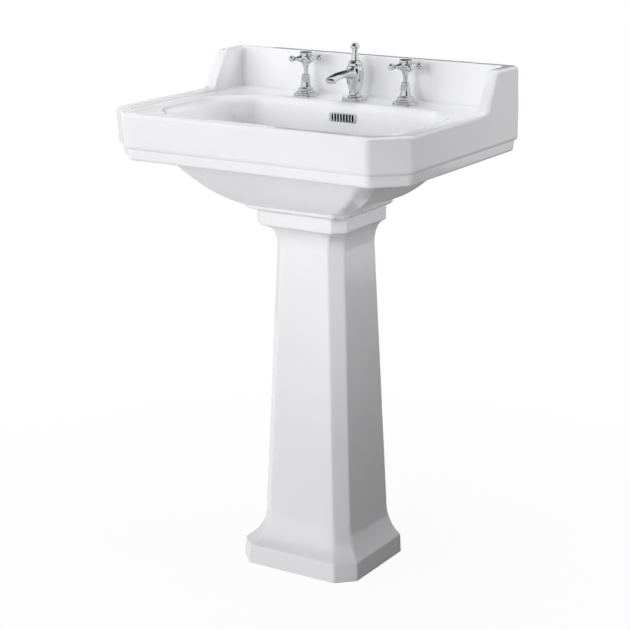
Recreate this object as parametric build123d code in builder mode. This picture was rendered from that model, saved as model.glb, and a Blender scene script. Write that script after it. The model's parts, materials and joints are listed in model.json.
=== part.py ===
"""Pedestal wash basin in glazed ware, with a three-hole tap set, a pop-up waste and a bottle trap.

Millimetres. +Z is up, +Y points to the wall, and the origin lies on the floor under the middle of the basin.
"""

import os
from math import atan2, cos, pi, radians, sin, sqrt, tan

from build123d import *

# Clearances
fit_gap = 0.15  # pieces that are screwed or pushed together
run_gap = 0.08  # shafts that turn or slide in their bores
free_gap = 0.35  # faces that move past each other
spare = 30.0  # how far a cut runs past the face it leaves by

# Glazed ware
ware_wall = 11.0
back_wall = 12.0

# Basin, seen from above
basin_width = 567.0
basin_depth = 428.0
corner_cut = 51.0  # both front corners, at 45 degrees
corner_round = 9.0

# Basin heights
pedestal_height = 642.0
basin_height = 175.0  # pedestal to rim
upstand_rise = 65.0
apron_height = 60.5
band_height = 20.5  # moulded band under the apron
rim_step = 7.0  # rim above deck
deck_thickness = 14.0

# Apron, band, rim and upstand
apron_lean = 4.5  # front and cut corners only
band_step = 6.0
band_lean = 2.5
band_round = 6.0
rim_width = 23.0  # also the thickness of the upstand
rim_round = 6.5
rim_inner_round = 3.9
rim_fillet = 2.8
wing_foot = 119.0  # wall to the foot of a wing's sloping edge
wing_top = 82.0  # wall to its top
wing_round = 12.0
upstand_lean = 3.0  # each end of the upstand, at its top

# Bowl
bowl_side_rim = 58.0
bowl_front_rim = 59.0
bowl_back_rim = 107.5
bowl_corner_cut = 50.0
bowl_corner_round = 28.0
bowl_shoulder_cut = 27.0
bowl_shoulder_round = 22.0
bowl_edge_round = 8.0
bowl_depth = 134.0  # deck to the edge of the floor
bowl_lean = 0.35
bowl_drop = 0.95
floor_half_width = 75.0
floor_half_depth = 61.0
floor_corner_cut = 26.0
floor_corner_round = 16.0
floor_fall = 3.0
floor_well = 37.0  # half the flat well round the waste

# Belly, the outside of the bowl
belly_side_set = 80.0  # behind the rim's side, at the foot of the band
belly_front_set = 63.5
belly_back_wall = 17.0
belly_corner_cut = 22.0
belly_corner_round = 8.0
belly_lean = 0.48
belly_drop = 0.84
belly_foot_side = 12.5  # overhang past the pedestal's collar
belly_foot_front = 20.0
belly_foot_back = 4.0
bead_height = 11.0
lip_height = 3.0
seat_overhang = 3.0
loft_steps = 4
curve_steps = 7

# Pedestal
pedestal_wall = 10.0
pedestal_round = 3.0
collar_width = 179.0
collar_front = 263.0  # fronts and backs are measured from the wall
collar_cut = 20.0
collar_height = 26.5
cove_height = 41.0
column_width = 134.0
column_front = 235.0
column_cut = 20.0
column_foot_width = 174.0
column_foot_front = 246.0
column_foot_cut = 22.0
flare_height = 58.0
flare_angle = 62.0
plinth_width = 236.0
plinth_front = 280.0
plinth_cut = 30.0
plinth_lean = 1.5
plinth_height = 34.0
pedestal_back_top = 112.0
pedestal_back_foot = 94.0
lug_reach = 45.0
lug_depth = 40.0
lug_thickness = 12.0
lug_set = 20.0  # pedestal's back edge to lug
floor_screw_spacing = 106.0
floor_screw_r = 4.0

# Wall fixing
wall_bolt_spacing = 280.0
wall_bolt_drop = 44.0  # rim to bolt
wall_bolt_r = 7.0

# Overflow
overflow_drop = 26.0  # deck to the middle of the grille
grille_width = 55.0
grille_height = 17.0
grille_thickness = 2.5
grille_round = 5.0
slot_count = 8
slot_pitch = 5.8
slot_width = 3.0
slot_height = 12.5
overflow_mouth_width = 46.0
overflow_mouth_height = 13.0
duct_width = 32.0
duct_depth = 5.5
duct_front_wall = 7.5
duct_back_wall = 6.0
duct_side_wall = 9.0
duct_rise = 4.0  # waste seat to the foot of the duct

# Taps, seen from above
tap_pitch = 200.0
tap_setback = 68.0
tap_hole_r = 14.0

# Waste
waste_setback = 192.5
waste_hole_r = 23.0
waste_tube_r = 20.95
waste_bore_r = 17.5
waste_flange_r = 32.0
waste_flange_thickness = 3.5
waste_mouth_r = 23.5
flange_seal_thickness = 1.5
under_seal_thickness = 4.0
under_seal_r = 31.0
waste_nut_height = 10.0
waste_nut_flat = 29.0
waste_tube_drop = 62.0  # waste seat to the foot of the tube
tail_socket = 12.0
overflow_slot_width = 24.0
plug_r = 22.5
plug_thickness = 4.5
plug_crown = 2.5
plug_seal_r = 18.6
plug_seal_inner_r = 10.0
plug_seal_thickness = 3.0
plug_stem_r = 4.0

# Pop-up linkage
lift_travel = 28.0
lift_rod_r = 3.0
pivot_rod_r = 3.0
pivot_drop = 38.0  # waste seat to the ball
ball_reach = 27.0  # waste axis to the ball
ball_r = 6.0
port_r = 10.0
port_bore_r = 7.0
port_mouth_r = 4.8
seat_bore_r = 5.2
seat_length = 3.5
pivot_nut_flat = 13.0
pivot_nut_length = 12.0
pivot_nut_wall = 4.0
pivot_nut_mouth_r = 5.6
rod_inner_reach = 7.0  # past the waste axis
rod_outer_reach = 14.0  # past the strap
strap_width = 12.0
strap_thickness = 1.6
strap_block = 12.0
strap_block_height = 14.0
strap_top_drop = 44.0  # foot of the spout's tee to the strap
strap_hole_gap = 0.6
strap_hole_pitch = 20.0
strap_hole_count = 4
strap_end = 8.0
clip_width = 9.0
clip_gap = 2.2
clip_thickness = 0.8
clip_top = 6.0
clip_drop = 15.0
clevis_screw_r = 2.0
clevis_head_r = 6.0
clevis_head_length = 6.0

# Bottle trap
pipe_r = 16.0
pipe_wall = 1.5
spigot_r = 20.0
trap_nut_flat = 23.5
trap_nut_height = 18.0
trap_nut_wall = 4.0
trap_seal_height = 4.0
tail_clear = 24.0  # foot of the waste tube to the inlet nut
trap_spigot_height = 26.0
trap_r = 31.0
trap_head_height = 44.0
trap_roof = 6.0
skirt_r = 28.0
skirt_bore_r = 25.0
skirt_height = 14.0
cup_height = 70.0
cup_floor = 4.0
cup_seal_height = 2.0
cup_round = 6.0
dip_height = 96.0
outlet_spigot = 19.0
pipe_lap = 14.0
outlet_stub = 22.0  # outlet nut to the end of the pipe
outlet_swage = 0.4
outlet_swage_length = 20.0

# Spout
shank_r = 10.4
shank_drop = 46.0
spout_flange_r = 23.2
flange_height = 6.0
flange_edge = 2.0
spout_base_r = 13.4
spout_base_top = 12.5
spout_neck_r = 10.8
spout_neck = 17.5  # heights here are above the deck
spout_belly_r = 16.3
spout_belly = 45.0
spout_height = 60.0
nose_sections = (  # reach from the axis, height above the deck, half width, half height
    (0.0, 46.0, 11.0, 9.0),
    (22.0, 47.0, 10.0, 8.2),
    (40.0, 47.8, 10.2, 7.2),
    (58.0, 48.0, 11.6, 6.4),
    (74.0, 47.0, 12.0, 6.0),
    (83.0, 46.4, 9.6, 4.8),
    (87.5, 45.8, 5.0, 2.4),
)
nose_root_round = 8.0
outlet_reach = 77.5
outlet_r = 7.4
outlet_bore_r = 5.9
outlet_height = 38.0
outlet_depth = 6.0
straightener_hole_r = 1.1
straightener_holes = 6
straightener_ring = 3.6
straightener_thickness = 2.5
bonnet_height = 9.0
bonnet_r = 12.6
bonnet_shoulder_r = 11.4
bonnet_shoulder = 5.5  # above the bonnet's foot
bonnet_top_r = 7.4
knob_height = 29.8
knob_base_r = 7.2
knob_waist_r = 5.9
knob_waist = 12.0  # above the knob's foot
knob_throat_r = 6.4
knob_head = 20.0
knob_r = 8.5
knob_bore_depth = 17.0

# Supply under the deck
washer_thickness = 3.0
washer_r = 20.0
deck_nut_height = 9.0
deck_nut_flat = 16.0
tee_r = 15.0
tee_top_drop = 38.0  # deck to the top of a tee
tee_height = 28.0
tee_floor = 6.0
tee_chamber_r = 8.5
port_reach = 24.0
port_boss_r = 8.0
link_pipe_r = 5.0
link_pipe_wall = 1.0
link_socket = 12.0
link_nut_flat = 10.0
link_nut_length = 9.0
inlet_r = 10.48
inlet_bore_r = 6.0
inlet_length = 30.0

# Valves and handles
valve_shank_r = 12.5
valve_top = 12.0
valve_flange_r = 22.6
cartridge_r = 9.0
cartridge_top = 15.0
cartridge_foot = 24.0  # below the deck
spindle_r = 4.0
spindle_foot = 16.0  # below the deck
spindle_top = 66.0
shroud_foot_r = 16.6
shroud_foot_top = 9.0
shroud_collar_r = 13.9
shroud_collar_top = 13.6
shroud_r = 10.4
shroud_waist_r = 8.0
shroud_waist = 23.5
shroud_sleeve_top = 33.0
shroud_neck_r = 7.2
shroud_top = 38.5
hub_foot = 50.0
hub_r = 10.4
hub_foot_r = 5.2
hub_top = 73.0
cap_recess_r = 7.0
cap_recess_depth = 5.0
cap_r = 11.5
cap_thickness = 3.5
cap_wall = 2.0
arm_height = 65.0
arm_reach = 25.0
arm_root_r = 5.4
arm_neck_r = 2.9
arm_ball_r = 5.8
arm_angle = 45.0
arm_count = 4
screw_r = 1.6
screw_length = 10.0
screw_head_r = 3.6
screw_head_height = 2.4

# Levels and places that follow from the sizes above
wall_y = basin_depth / 2
front_y = -basin_depth / 2
rim_z = pedestal_height + basin_height
upstand_z = rim_z + upstand_rise
groove_z = rim_z - apron_height
band_z = groove_z - band_height
deck_z = rim_z - rim_step
under_deck_z = deck_z - deck_thickness
belly_foot_z = pedestal_height + bead_height
floor_z = deck_z - bowl_depth
well_z = floor_z - floor_fall
cut_share = 2 - sqrt(2)  # how fast a 45 degree cut shortens as its plan shrinks
waste_y = wall_y - waste_setback
tap_y = wall_y - tap_setback
bowl_back_y = wall_y - bowl_back_rim
collar_front_y = wall_y - collar_front
waste_axis = Axis((0, waste_y, 0), (0, 0, 1))
spout_axis = Axis((0, tap_y, 0), (0, 0, 1))

os.makedirs("parts", exist_ok=True)


def between(start, end, share):
    """Value that lies a share of the way from start to end."""
    return start + (end - start) * share


def eased(share, lean):
    """Share of the way along a curve that leaves its start towards lean."""
    return 2 * share * (1 - share) * lean + share * share


def plan_face(half_width, front, back, cut, back_cut=0.0, rounding=0.0):
    """Plan with its front corners cut at 45 degrees, and its back ones where back_cut is given."""
    right = [(half_width, front + cut), (half_width - cut, front)]
    if back_cut:
        right = [(half_width - back_cut, back), (half_width, back - back_cut)] + right
    else:
        right = [(half_width, back)] + right
    left = [(-x, y) for x, y in reversed(right)]
    with BuildSketch() as plan:
        with BuildLine():
            Polyline(*right, *left, close=True)
        make_face()
        if rounding:
            fillet(plan.vertices(), rounding)
    return plan.sketch


def basin_plan(inset, side_inset, back_inset=0.0):
    """Outline of the basin, with its front and cut corners, its sides and its back drawn in."""
    cut = corner_cut + inset * (sqrt(2) - 1) - side_inset
    half_width = basin_width / 2 - side_inset
    return plan_face(half_width, front_y + inset, wall_y - back_inset, cut, rounding=corner_round)


def pedestal_plan(height, width, front, cut, inset=0.0, past_back=0.0):
    """Outline of the pedestal at a height, with its back edges on one leaning plane."""
    back = wall_y - between(pedestal_back_foot, pedestal_back_top, height / pedestal_height) + past_back
    rounding = 0.0 if inset else pedestal_round
    half_width = width / 2 - inset
    return plan_face(half_width, wall_y - front + inset, back, cut - inset * cut_share, rounding=rounding)


def at_level(shapes, height):
    """Those of the shapes that lie at a height."""
    return shapes.filter_by_position(Axis.Z, height - fit_gap, height + fit_gap)


def turning_plane(x, y):
    """Upright plane through a vertical axis, where X is the radius and Y the height."""
    return Plane((x, y, 0), x_dir=(1, 0, 0), z_dir=(0, -1, 0))


def half_section(*corners):
    """Half section of a turned piece from its corners, each a radius and a height."""
    with BuildSketch() as section:
        with BuildLine():
            Polyline(*corners, close=True)
        make_face()
    return section.sketch


def tube_section(bore, radius, foot, top):
    """Half section of a plain ring or tube."""
    return half_section((bore, foot), (radius, foot), (radius, top), (bore, top))


def hexagon_ring(flat, bore):
    """Plan of a six-sided nut, where flat is half its size across flats."""
    with BuildSketch() as plan:
        RegularPolygon(flat, 6, major_radius=False)
        Circle(bore, mode=Mode.SUBTRACT)
    return plan.sketch


def save(piece, label):
    """Name a finished piece and write it out."""
    piece.part.label = label
    export_step(piece.part, f"parts/{label}.step")


# Basin
bowl_half_width = basin_width / 2 - bowl_side_rim
bowl_front_y = front_y + bowl_front_rim
belly_half_width = basin_width / 2 - belly_side_set
belly_front_y = front_y + belly_front_set
belly_back_y = bowl_back_y + belly_back_wall
belly_foot_half_width = collar_width / 2 + belly_foot_side
belly_foot_front_y = collar_front_y - belly_foot_front
belly_foot_back_y = wall_y - pedestal_back_top + belly_foot_back
band_foot_inset = apron_lean + band_step + band_lean
duct_front_y = bowl_back_y + duct_front_wall
duct_back_y = duct_front_y + duct_depth
duct_foot_z = belly_foot_z + duct_rise
duct_block_width = duct_width + 2 * duct_side_wall
duct_block_back_y = duct_back_y + duct_back_wall
overflow_z = deck_z - overflow_drop
flange_seat_z = well_z - waste_flange_thickness - flange_seal_thickness

with BuildPart() as basin:
    # Apron, and the full block that the upstand and its wings are cut from
    for height, inset in ((groove_z, apron_lean), (rim_z, 0.0)):
        with BuildSketch(Plane.XY.offset(height)):
            add(basin_plan(inset, 0.0))
    loft(ruled=True)
    for height, inset in ((rim_z, 0.0), (upstand_z, upstand_lean)):
        with BuildSketch(Plane.XY.offset(height)):
            add(basin_plan(0.0, inset))
    loft(ruled=True)
    with BuildSketch(Plane.YZ) as above:
        with BuildLine():
            Polyline(
                (front_y - spare, rim_z),
                (wall_y - wing_foot, rim_z),
                (wall_y - wing_top, upstand_z),
                (wall_y - wing_top + spare, upstand_z),
                (wall_y - wing_top + spare, upstand_z + spare),
                (front_y - spare, upstand_z + spare),
                close=True,
            )
        make_face()
        reach = (wall_y - wing_foot - fit_gap, wall_y - wing_top + fit_gap)
        fillet(above.vertices().filter_by_position(Axis.X, *reach), wing_round)
    extrude(amount=basin_width / 2 + spare, both=True, mode=Mode.SUBTRACT)
    # Sunk top inside the rim, the wings and the upstand
    with BuildSketch(Plane.XY.offset(deck_z)):
        add(basin_plan(rim_width, rim_width, rim_width))
    extrude(amount=upstand_z - deck_z, mode=Mode.SUBTRACT)
    deck = at_level(basin.faces().filter_by(Plane.XY), deck_z).sort_by(SortBy.AREA)[-1]
    fillet(deck.edges(), rim_fillet)
    for order, rounding in ((1, rim_inner_round), (0, rim_round)):
        brink = at_level(basin.edges(), rim_z).filter_by(Axis.X).sort_by(Axis.Y)
        fillet(brink[order], rounding)
    # Moulded band, which leaves a groove under the apron
    for height, inset in ((band_z, band_lean), (groove_z, 0.0)):
        with BuildSketch(Plane.XY.offset(height)):
            add(basin_plan(apron_lean + band_step + inset, band_step + inset))
    loft(ruled=True)
    band_foot = at_level(basin.edges(), band_z)
    fillet(band_foot.filter_by(lambda edge: edge.center().Y < wall_y - corner_round), band_round)
    # Open underside
    with BuildSketch(Plane.XY.offset(band_z)):
        add(basin_plan(band_foot_inset + ware_wall, band_step + band_lean + ware_wall, back_wall))
    extrude(amount=under_deck_z - band_z, mode=Mode.SUBTRACT)
    # Belly: flared against the deck, then rounding in to the pedestal
    with BuildSketch(Plane.XY.offset(under_deck_z)):
        top_cut = bowl_corner_cut + ware_wall * cut_share
        half_width = bowl_half_width + ware_wall
        front = bowl_front_y - ware_wall
        add(plan_face(half_width, front, belly_back_y, top_cut, rounding=belly_corner_round))
    with BuildSketch(Plane.XY.offset(band_z)):
        cut, rounding = belly_corner_cut, belly_corner_round
        add(plan_face(belly_half_width, belly_front_y, belly_back_y, cut, rounding=rounding))
    loft(ruled=True)
    for step in range(loft_steps + 1):
        inward = eased(step / loft_steps, belly_lean)
        height = between(band_z, belly_foot_z, eased(step / loft_steps, belly_drop))
        half_width = between(belly_half_width, belly_foot_half_width, inward)
        front = between(belly_front_y, belly_foot_front_y, inward)
        back = between(belly_back_y, belly_foot_back_y, inward)
        with BuildSketch(Plane.XY.offset(height)):
            add(plan_face(half_width, front, back, belly_corner_cut, rounding=belly_corner_round))
    loft()
    # Lip and bead that carry the basin on the pedestal
    bead_half_width = collar_width / 2 + seat_overhang
    bead_front = collar_front_y - seat_overhang
    for height in (belly_foot_z, belly_foot_z - lip_height):
        with BuildSketch(Plane.XY.offset(height)):
            add(
                plan_face(
                    belly_foot_half_width,
                    belly_foot_front_y,
                    belly_foot_back_y,
                    belly_corner_cut,
                    rounding=belly_corner_round,
                )
            )
    with BuildSketch(Plane.XY.offset(pedestal_height)):
        rounding = belly_corner_round
        add(plan_face(bead_half_width, bead_front, belly_foot_back_y, collar_cut, rounding=rounding))
    loft(ruled=True)
    # Hump behind the bowl that holds the overflow duct
    with BuildSketch(Plane.XY.offset(belly_foot_z)):
        with Locations((0, between(waste_y, duct_block_back_y, 0.5))):
            Rectangle(duct_block_width, duct_block_back_y - waste_y)
    extrude(amount=under_deck_z - belly_foot_z)
    # Bowl
    for height in (upstand_z, deck_z):
        with BuildSketch(Plane.XY.offset(height)):
            add(
                plan_face(
                    bowl_half_width,
                    bowl_front_y,
                    bowl_back_y,
                    bowl_corner_cut,
                    bowl_corner_cut,
                    bowl_corner_round,
                )
            )
    with BuildSketch(Plane.XY.offset(band_z)):
        half_width = belly_half_width - ware_wall
        front = belly_front_y + ware_wall
        cut = bowl_shoulder_cut
        add(plan_face(half_width, front, bowl_back_y, cut, cut, bowl_shoulder_round))
    loft(ruled=True, mode=Mode.SUBTRACT)
    for step in range(loft_steps + 1):
        share = step / loft_steps
        inward = eased(share, bowl_lean)
        height = between(band_z, floor_z, eased(share, bowl_drop))
        half_width = between(belly_half_width - ware_wall, floor_half_width, inward)
        front = between(belly_front_y + ware_wall, waste_y - floor_half_depth, inward)
        back = between(bowl_back_y, waste_y + floor_half_depth, inward)
        cut = between(bowl_shoulder_cut, floor_corner_cut, share)
        rounding = between(bowl_shoulder_round, floor_corner_round, share)
        with BuildSketch(Plane.XY.offset(height)):
            add(plan_face(half_width, front, back, cut, cut, rounding))
    loft(mode=Mode.SUBTRACT)
    with BuildSketch(Plane.XY.offset(floor_z)):
        front, back = waste_y - floor_half_depth, waste_y + floor_half_depth
        cut = floor_corner_cut
        add(plan_face(floor_half_width, front, back, cut, cut, floor_corner_round))
    with BuildSketch(Plane.XY.offset(well_z)):
        front, back = waste_y - floor_well, waste_y + floor_well
        cut = floor_corner_cut * floor_well / floor_half_width
        add(plan_face(floor_well, front, back, cut, cut, cut))
    loft(ruled=True, mode=Mode.SUBTRACT)
    deck = at_level(basin.faces().filter_by(Plane.XY), deck_z).sort_by(SortBy.AREA)[-1]
    fillet(deck.inner_wires()[0].edges(), bowl_edge_round)
    # Waste: flange recess, bore, and the hollow foot that the back nut sits in
    for height, radius, top in (
        (belly_foot_z - spare, waste_hole_r, flange_seat_z),
        (flange_seat_z, waste_flange_r + free_gap, floor_z),
    ):
        with BuildSketch(Plane((0, waste_y, height))):
            Circle(radius)
        extrude(amount=top - height, mode=Mode.SUBTRACT)
    with BuildSketch(Plane.XY.offset(pedestal_height - spare)):
        half_width = collar_width / 2 - ware_wall
        front = collar_front_y + ware_wall
        back = belly_foot_back_y - ware_wall
        add(plan_face(half_width, front, back, collar_cut, rounding=belly_corner_round))
    extrude(amount=bead_height + spare, mode=Mode.SUBTRACT)
    # Overflow: mouth behind the grille, and a duct down to the waste
    with BuildSketch(Plane((0, bowl_back_y, overflow_z), x_dir=(1, 0, 0), z_dir=(0, 1, 0))):
        RectangleRounded(overflow_mouth_width, overflow_mouth_height, grille_round)
    extrude(amount=duct_back_y - bowl_back_y, mode=Mode.SUBTRACT)
    duct_foot = Plane.XY.offset(duct_foot_z)
    with BuildSketch(duct_foot):
        with Locations((0, between(duct_front_y, duct_back_y, 0.5))):
            Rectangle(duct_width, duct_depth)
    extrude(amount=overflow_z - duct_foot_z, mode=Mode.SUBTRACT)
    with BuildSketch(duct_foot):
        with Locations((0, between(waste_y, duct_back_y, 0.5))):
            Rectangle(duct_width, duct_back_y - waste_y)
    extrude(amount=duct_depth, mode=Mode.SUBTRACT)
    # Holes for the three taps and the two wall bolts
    with BuildSketch(Plane((0, tap_y, under_deck_z - spare))):
        with GridLocations(tap_pitch / 2, 0, 3, 1):
            Circle(tap_hole_r)
    extrude(amount=deck_thickness + 2 * spare, mode=Mode.SUBTRACT)
    with BuildSketch(Plane((0, wall_y, rim_z - wall_bolt_drop), x_dir=(1, 0, 0), z_dir=(0, -1, 0))):
        with GridLocations(wall_bolt_spacing, 0, 2, 1):
            Circle(wall_bolt_r)
    extrude(amount=back_wall, mode=Mode.SUBTRACT)
save(basin, "basin")

# Pedestal: collar, cove, column, flare and plinth round an open back
collar = (collar_width, collar_front, collar_cut)
column_top = (column_width, column_front, column_cut)
column_foot = (column_foot_width, column_foot_front, column_foot_cut)
plinth_top = (plinth_width - 2 * plinth_lean, plinth_front - plinth_lean, plinth_cut)
plinth_foot = (plinth_width, plinth_front, plinth_cut)
cove_z = pedestal_height - collar_height
column_z = cove_z - cove_height
flare_z = plinth_height + flare_height
lug_y = wall_y - pedestal_back_foot - lug_set - lug_depth / 2

with BuildPart() as pedestal:
    with BuildSketch(Plane.XY.offset(cove_z)):
        add(pedestal_plan(pedestal_height, *collar))
    extrude(amount=collar_height)
    for step in range(curve_steps + 1):
        turn = pi / 2 * step / curve_steps
        height = between(cove_z, column_z, 1 - cos(turn))
        size = [between(start, end, sin(turn)) for start, end in zip(collar, column_top)]
        with BuildSketch(Plane.XY.offset(height)):
            add(pedestal_plan(pedestal_height, *size))
    loft(ruled=True)
    for height, back_height, size in (
        (column_z, pedestal_height, column_top),
        (flare_z, plinth_height, column_foot),
    ):
        with BuildSketch(Plane.XY.offset(height)):
            add(pedestal_plan(back_height, *size))
    loft(ruled=True)
    for step in range(curve_steps + 1):
        turn = radians(flare_angle) * step / curve_steps
        height = between(flare_z, plinth_height, sin(turn) / sin(radians(flare_angle)))
        outward = (1 - cos(turn)) / (1 - cos(radians(flare_angle)))
        size = [between(start, end, outward) for start, end in zip(column_foot, plinth_top)]
        with BuildSketch(Plane.XY.offset(height)):
            add(pedestal_plan(plinth_height, *size))
    loft(ruled=True)
    for height, size in ((plinth_height, plinth_top), (0.0, plinth_foot)):
        with BuildSketch(Plane.XY.offset(height)):
            add(pedestal_plan(plinth_height, *size))
    loft(ruled=True)
    # Hollow from top to floor, and out through the back
    for height, size in (
        (pedestal_height + spare, column_top),
        (column_z, column_top),
        (flare_z, column_foot),
        (-spare, column_foot),
    ):
        with BuildSketch(Plane.XY.offset(height)):
            add(pedestal_plan(plinth_height, *size, inset=pedestal_wall, past_back=spare))
    loft(ruled=True, mode=Mode.SUBTRACT)
    # Lugs inside the foot for the floor screws
    for side in (-1, 1):
        with BuildSketch():
            with Locations((side * (column_foot_width / 2 - pedestal_wall / 2 - lug_reach / 2), lug_y)):
                Rectangle(lug_reach, lug_depth)
        extrude(amount=lug_thickness)
    with BuildSketch():
        with Locations((0, lug_y)):
            with GridLocations(floor_screw_spacing, 0, 2, 1):
                Circle(floor_screw_r)
    extrude(amount=lug_thickness, mode=Mode.SUBTRACT)
save(pedestal, "pedestal")

# Overflow grille, flat against the bowl's back wall
with BuildPart() as overflow_grille:
    with BuildSketch(Plane((0, bowl_back_y, overflow_z), x_dir=(1, 0, 0), z_dir=(0, -1, 0))):
        RectangleRounded(grille_width, grille_height, grille_round)
        with GridLocations(slot_pitch, 0, slot_count, 1):
            SlotOverall(slot_height, slot_width, rotation=90, mode=Mode.SUBTRACT)
    extrude(amount=grille_thickness)
    rim = overflow_grille.faces().sort_by(Axis.Y)[0].outer_wire().edges()
    fillet(rim, grille_thickness / 2)
save(overflow_grille, "overflow_grille")

# Waste body: flange, slotted tube, and the side port for the pivot rod
waste_flange_z = well_z - waste_flange_thickness
tube_foot_z = belly_foot_z - waste_tube_drop
ball_y = waste_y + ball_reach
ball_z = belly_foot_z - pivot_drop
port_end = ball_reach + seat_length - free_gap

with BuildPart() as waste_body:
    with BuildSketch(turning_plane(0, waste_y)):
        add(
            half_section(
                (waste_bore_r, tube_foot_z + tail_socket),
                (pipe_r + fit_gap, tube_foot_z + tail_socket),
                (pipe_r + fit_gap, tube_foot_z),
                (waste_tube_r, tube_foot_z),
                (waste_tube_r, waste_flange_z),
                (waste_flange_r, waste_flange_z),
                (waste_flange_r, well_z - waste_flange_thickness / 2),
                (waste_mouth_r, well_z),
                (waste_bore_r, waste_flange_z),
            )
        )
    revolve(axis=waste_axis)
    with BuildSketch(Plane((0, waste_y, ball_z), x_dir=(1, 0, 0), z_dir=(0, 1, 0))):
        Circle(port_r)
    extrude(amount=port_end)
    with BuildSketch(turning_plane(0, waste_y)):
        add(tube_section(0.0, waste_bore_r, tube_foot_z + tail_socket, waste_flange_z))
    revolve(axis=waste_axis, mode=Mode.SUBTRACT)
    for start, radius in ((0.0, port_mouth_r), (waste_tube_r, port_bore_r)):
        with BuildSketch(Plane((0, waste_y + start, ball_z), x_dir=(1, 0, 0), z_dir=(0, 1, 0))):
            Circle(radius)
        extrude(amount=port_end - start, mode=Mode.SUBTRACT)
    with BuildSketch(Plane((0, waste_y, duct_foot_z + duct_depth / 2), x_dir=(1, 0, 0), z_dir=(0, 1, 0))):
        Rectangle(overflow_slot_width, duct_depth)
    extrude(amount=waste_flange_r, mode=Mode.SUBTRACT)
save(waste_body, "waste_body")

with BuildPart() as waste_flange_seal:
    with BuildSketch(turning_plane(0, waste_y)):
        add(tube_section(waste_hole_r, waste_flange_r, flange_seat_z, waste_flange_z))
    revolve(axis=waste_axis)
save(waste_flange_seal, "waste_flange_seal")

under_seal_z = belly_foot_z - under_seal_thickness
with BuildPart() as waste_under_seal:
    with BuildSketch(turning_plane(0, waste_y)):
        add(tube_section(waste_tube_r + fit_gap, under_seal_r, under_seal_z, belly_foot_z))
    revolve(axis=waste_axis)
save(waste_under_seal, "waste_under_seal")

with BuildPart() as waste_back_nut:
    with BuildSketch(Plane((0, waste_y, under_seal_z))):
        add(hexagon_ring(waste_nut_flat, waste_tube_r + fit_gap))
    extrude(amount=-waste_nut_height)
save(waste_back_nut, "waste_back_nut")

# Pop-up linkage. At rest the knob is down, the rod's outer end is low and the plug stands open.
strap_y = tap_y + strap_block / 2 - strap_thickness / 2
arm_out = strap_y - ball_y
tilt = atan2(lift_travel / 2, arm_out)
plug_lift = 2 * ball_reach * tan(tilt)
rod_out = Vector(0, cos(tilt), -sin(tilt))
rod_plane = Plane((0, ball_y, ball_z), x_dir=(1, 0, 0), z_dir=rod_out)
rod_inner_length = (ball_reach + rod_inner_reach) / cos(tilt)
rod_outer_length = (arm_out + rod_outer_reach) / cos(tilt)

with BuildPart() as pivot_rod:
    with BuildSketch(rod_plane.offset(-rod_inner_length)):
        Circle(pivot_rod_r)
    extrude(amount=rod_inner_length + rod_outer_length)
    with Locations(rod_plane):
        Sphere(ball_r)
save(pivot_rod, "pivot_rod")

with BuildPart() as pivot_seat:
    with BuildSketch(Plane((0, ball_y - seat_length, ball_z), x_dir=(1, 0, 0), z_dir=(0, -1, 0))):
        Circle(port_bore_r - fit_gap)
        Circle(seat_bore_r, mode=Mode.SUBTRACT)
    extrude(amount=ball_reach - seat_length - waste_tube_r)
save(pivot_seat, "pivot_seat")

nut_end = port_end + pivot_nut_wall
with BuildPart() as pivot_nut:
    with BuildSketch(Plane((0, waste_y + nut_end, ball_z), x_dir=(1, 0, 0), z_dir=(0, -1, 0))):
        add(hexagon_ring(pivot_nut_flat, pivot_nut_mouth_r))
    extrude(amount=pivot_nut_length)
    with BuildSketch(Plane((0, waste_y + port_end, ball_z), x_dir=(1, 0, 0), z_dir=(0, -1, 0))):
        Circle(port_r + fit_gap)
    extrude(amount=pivot_nut_length, mode=Mode.SUBTRACT)
save(pivot_nut, "pivot_nut")

# Plug, drawn where it stands open
plug_seat_z = well_z + free_gap + plug_lift
stem_foot_z = ball_z + ball_reach * tan(tilt) + pivot_rod_r / cos(tilt) + free_gap

with BuildPart() as waste_plug:
    plug_edge_z = plug_seat_z + plug_thickness / 2
    crown_rise = plug_thickness / 2 + plug_crown
    crown_r = (plug_r**2 + crown_rise**2) / (2 * crown_rise)
    with BuildSketch(turning_plane(0, waste_y)):
        with BuildLine():
            crown = RadiusArc((plug_r, plug_edge_z), (0, plug_edge_z + crown_rise), -crown_r)
            tip = RadiusArc((plug_stem_r, stem_foot_z + plug_stem_r), (0, stem_foot_z), plug_stem_r)
            Polyline(
                crown @ 0,
                (plug_r, plug_seat_z),
                (plug_seal_inner_r, plug_seat_z),
                (plug_seal_inner_r, plug_seat_z - plug_seal_thickness),
                (plug_stem_r, plug_seat_z - plug_seal_thickness),
                tip @ 0,
            )
            Line(tip @ 1, crown @ 1)
        make_face()
    revolve(axis=waste_axis)
save(waste_plug, "waste_plug")

with BuildPart() as plug_seal:
    with BuildSketch(turning_plane(0, waste_y)):
        add(tube_section(plug_seal_inner_r, plug_seal_r, plug_seat_z - plug_seal_thickness, plug_seat_z))
    revolve(axis=waste_axis)
save(plug_seal, "plug_seal")

# Lift rod and strap
tee_top_z = deck_z - tee_top_drop
tee_foot_z = tee_top_z - tee_height
bonnet_z = deck_z + spout_height
knob_z = bonnet_z + bonnet_height + free_gap
strap_top_z = tee_foot_z - strap_top_drop
block_foot_z = strap_top_z - strap_block_height
rod_hole_z = ball_z - lift_travel / 2
strap_foot_z = rod_hole_z - strap_end

with BuildPart() as lift_rod:
    with BuildSketch(Plane((0, tap_y, block_foot_z))):
        Circle(lift_rod_r)
    extrude(amount=knob_z + knob_bore_depth - block_foot_z)
save(lift_rod, "lift_rod")

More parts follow.
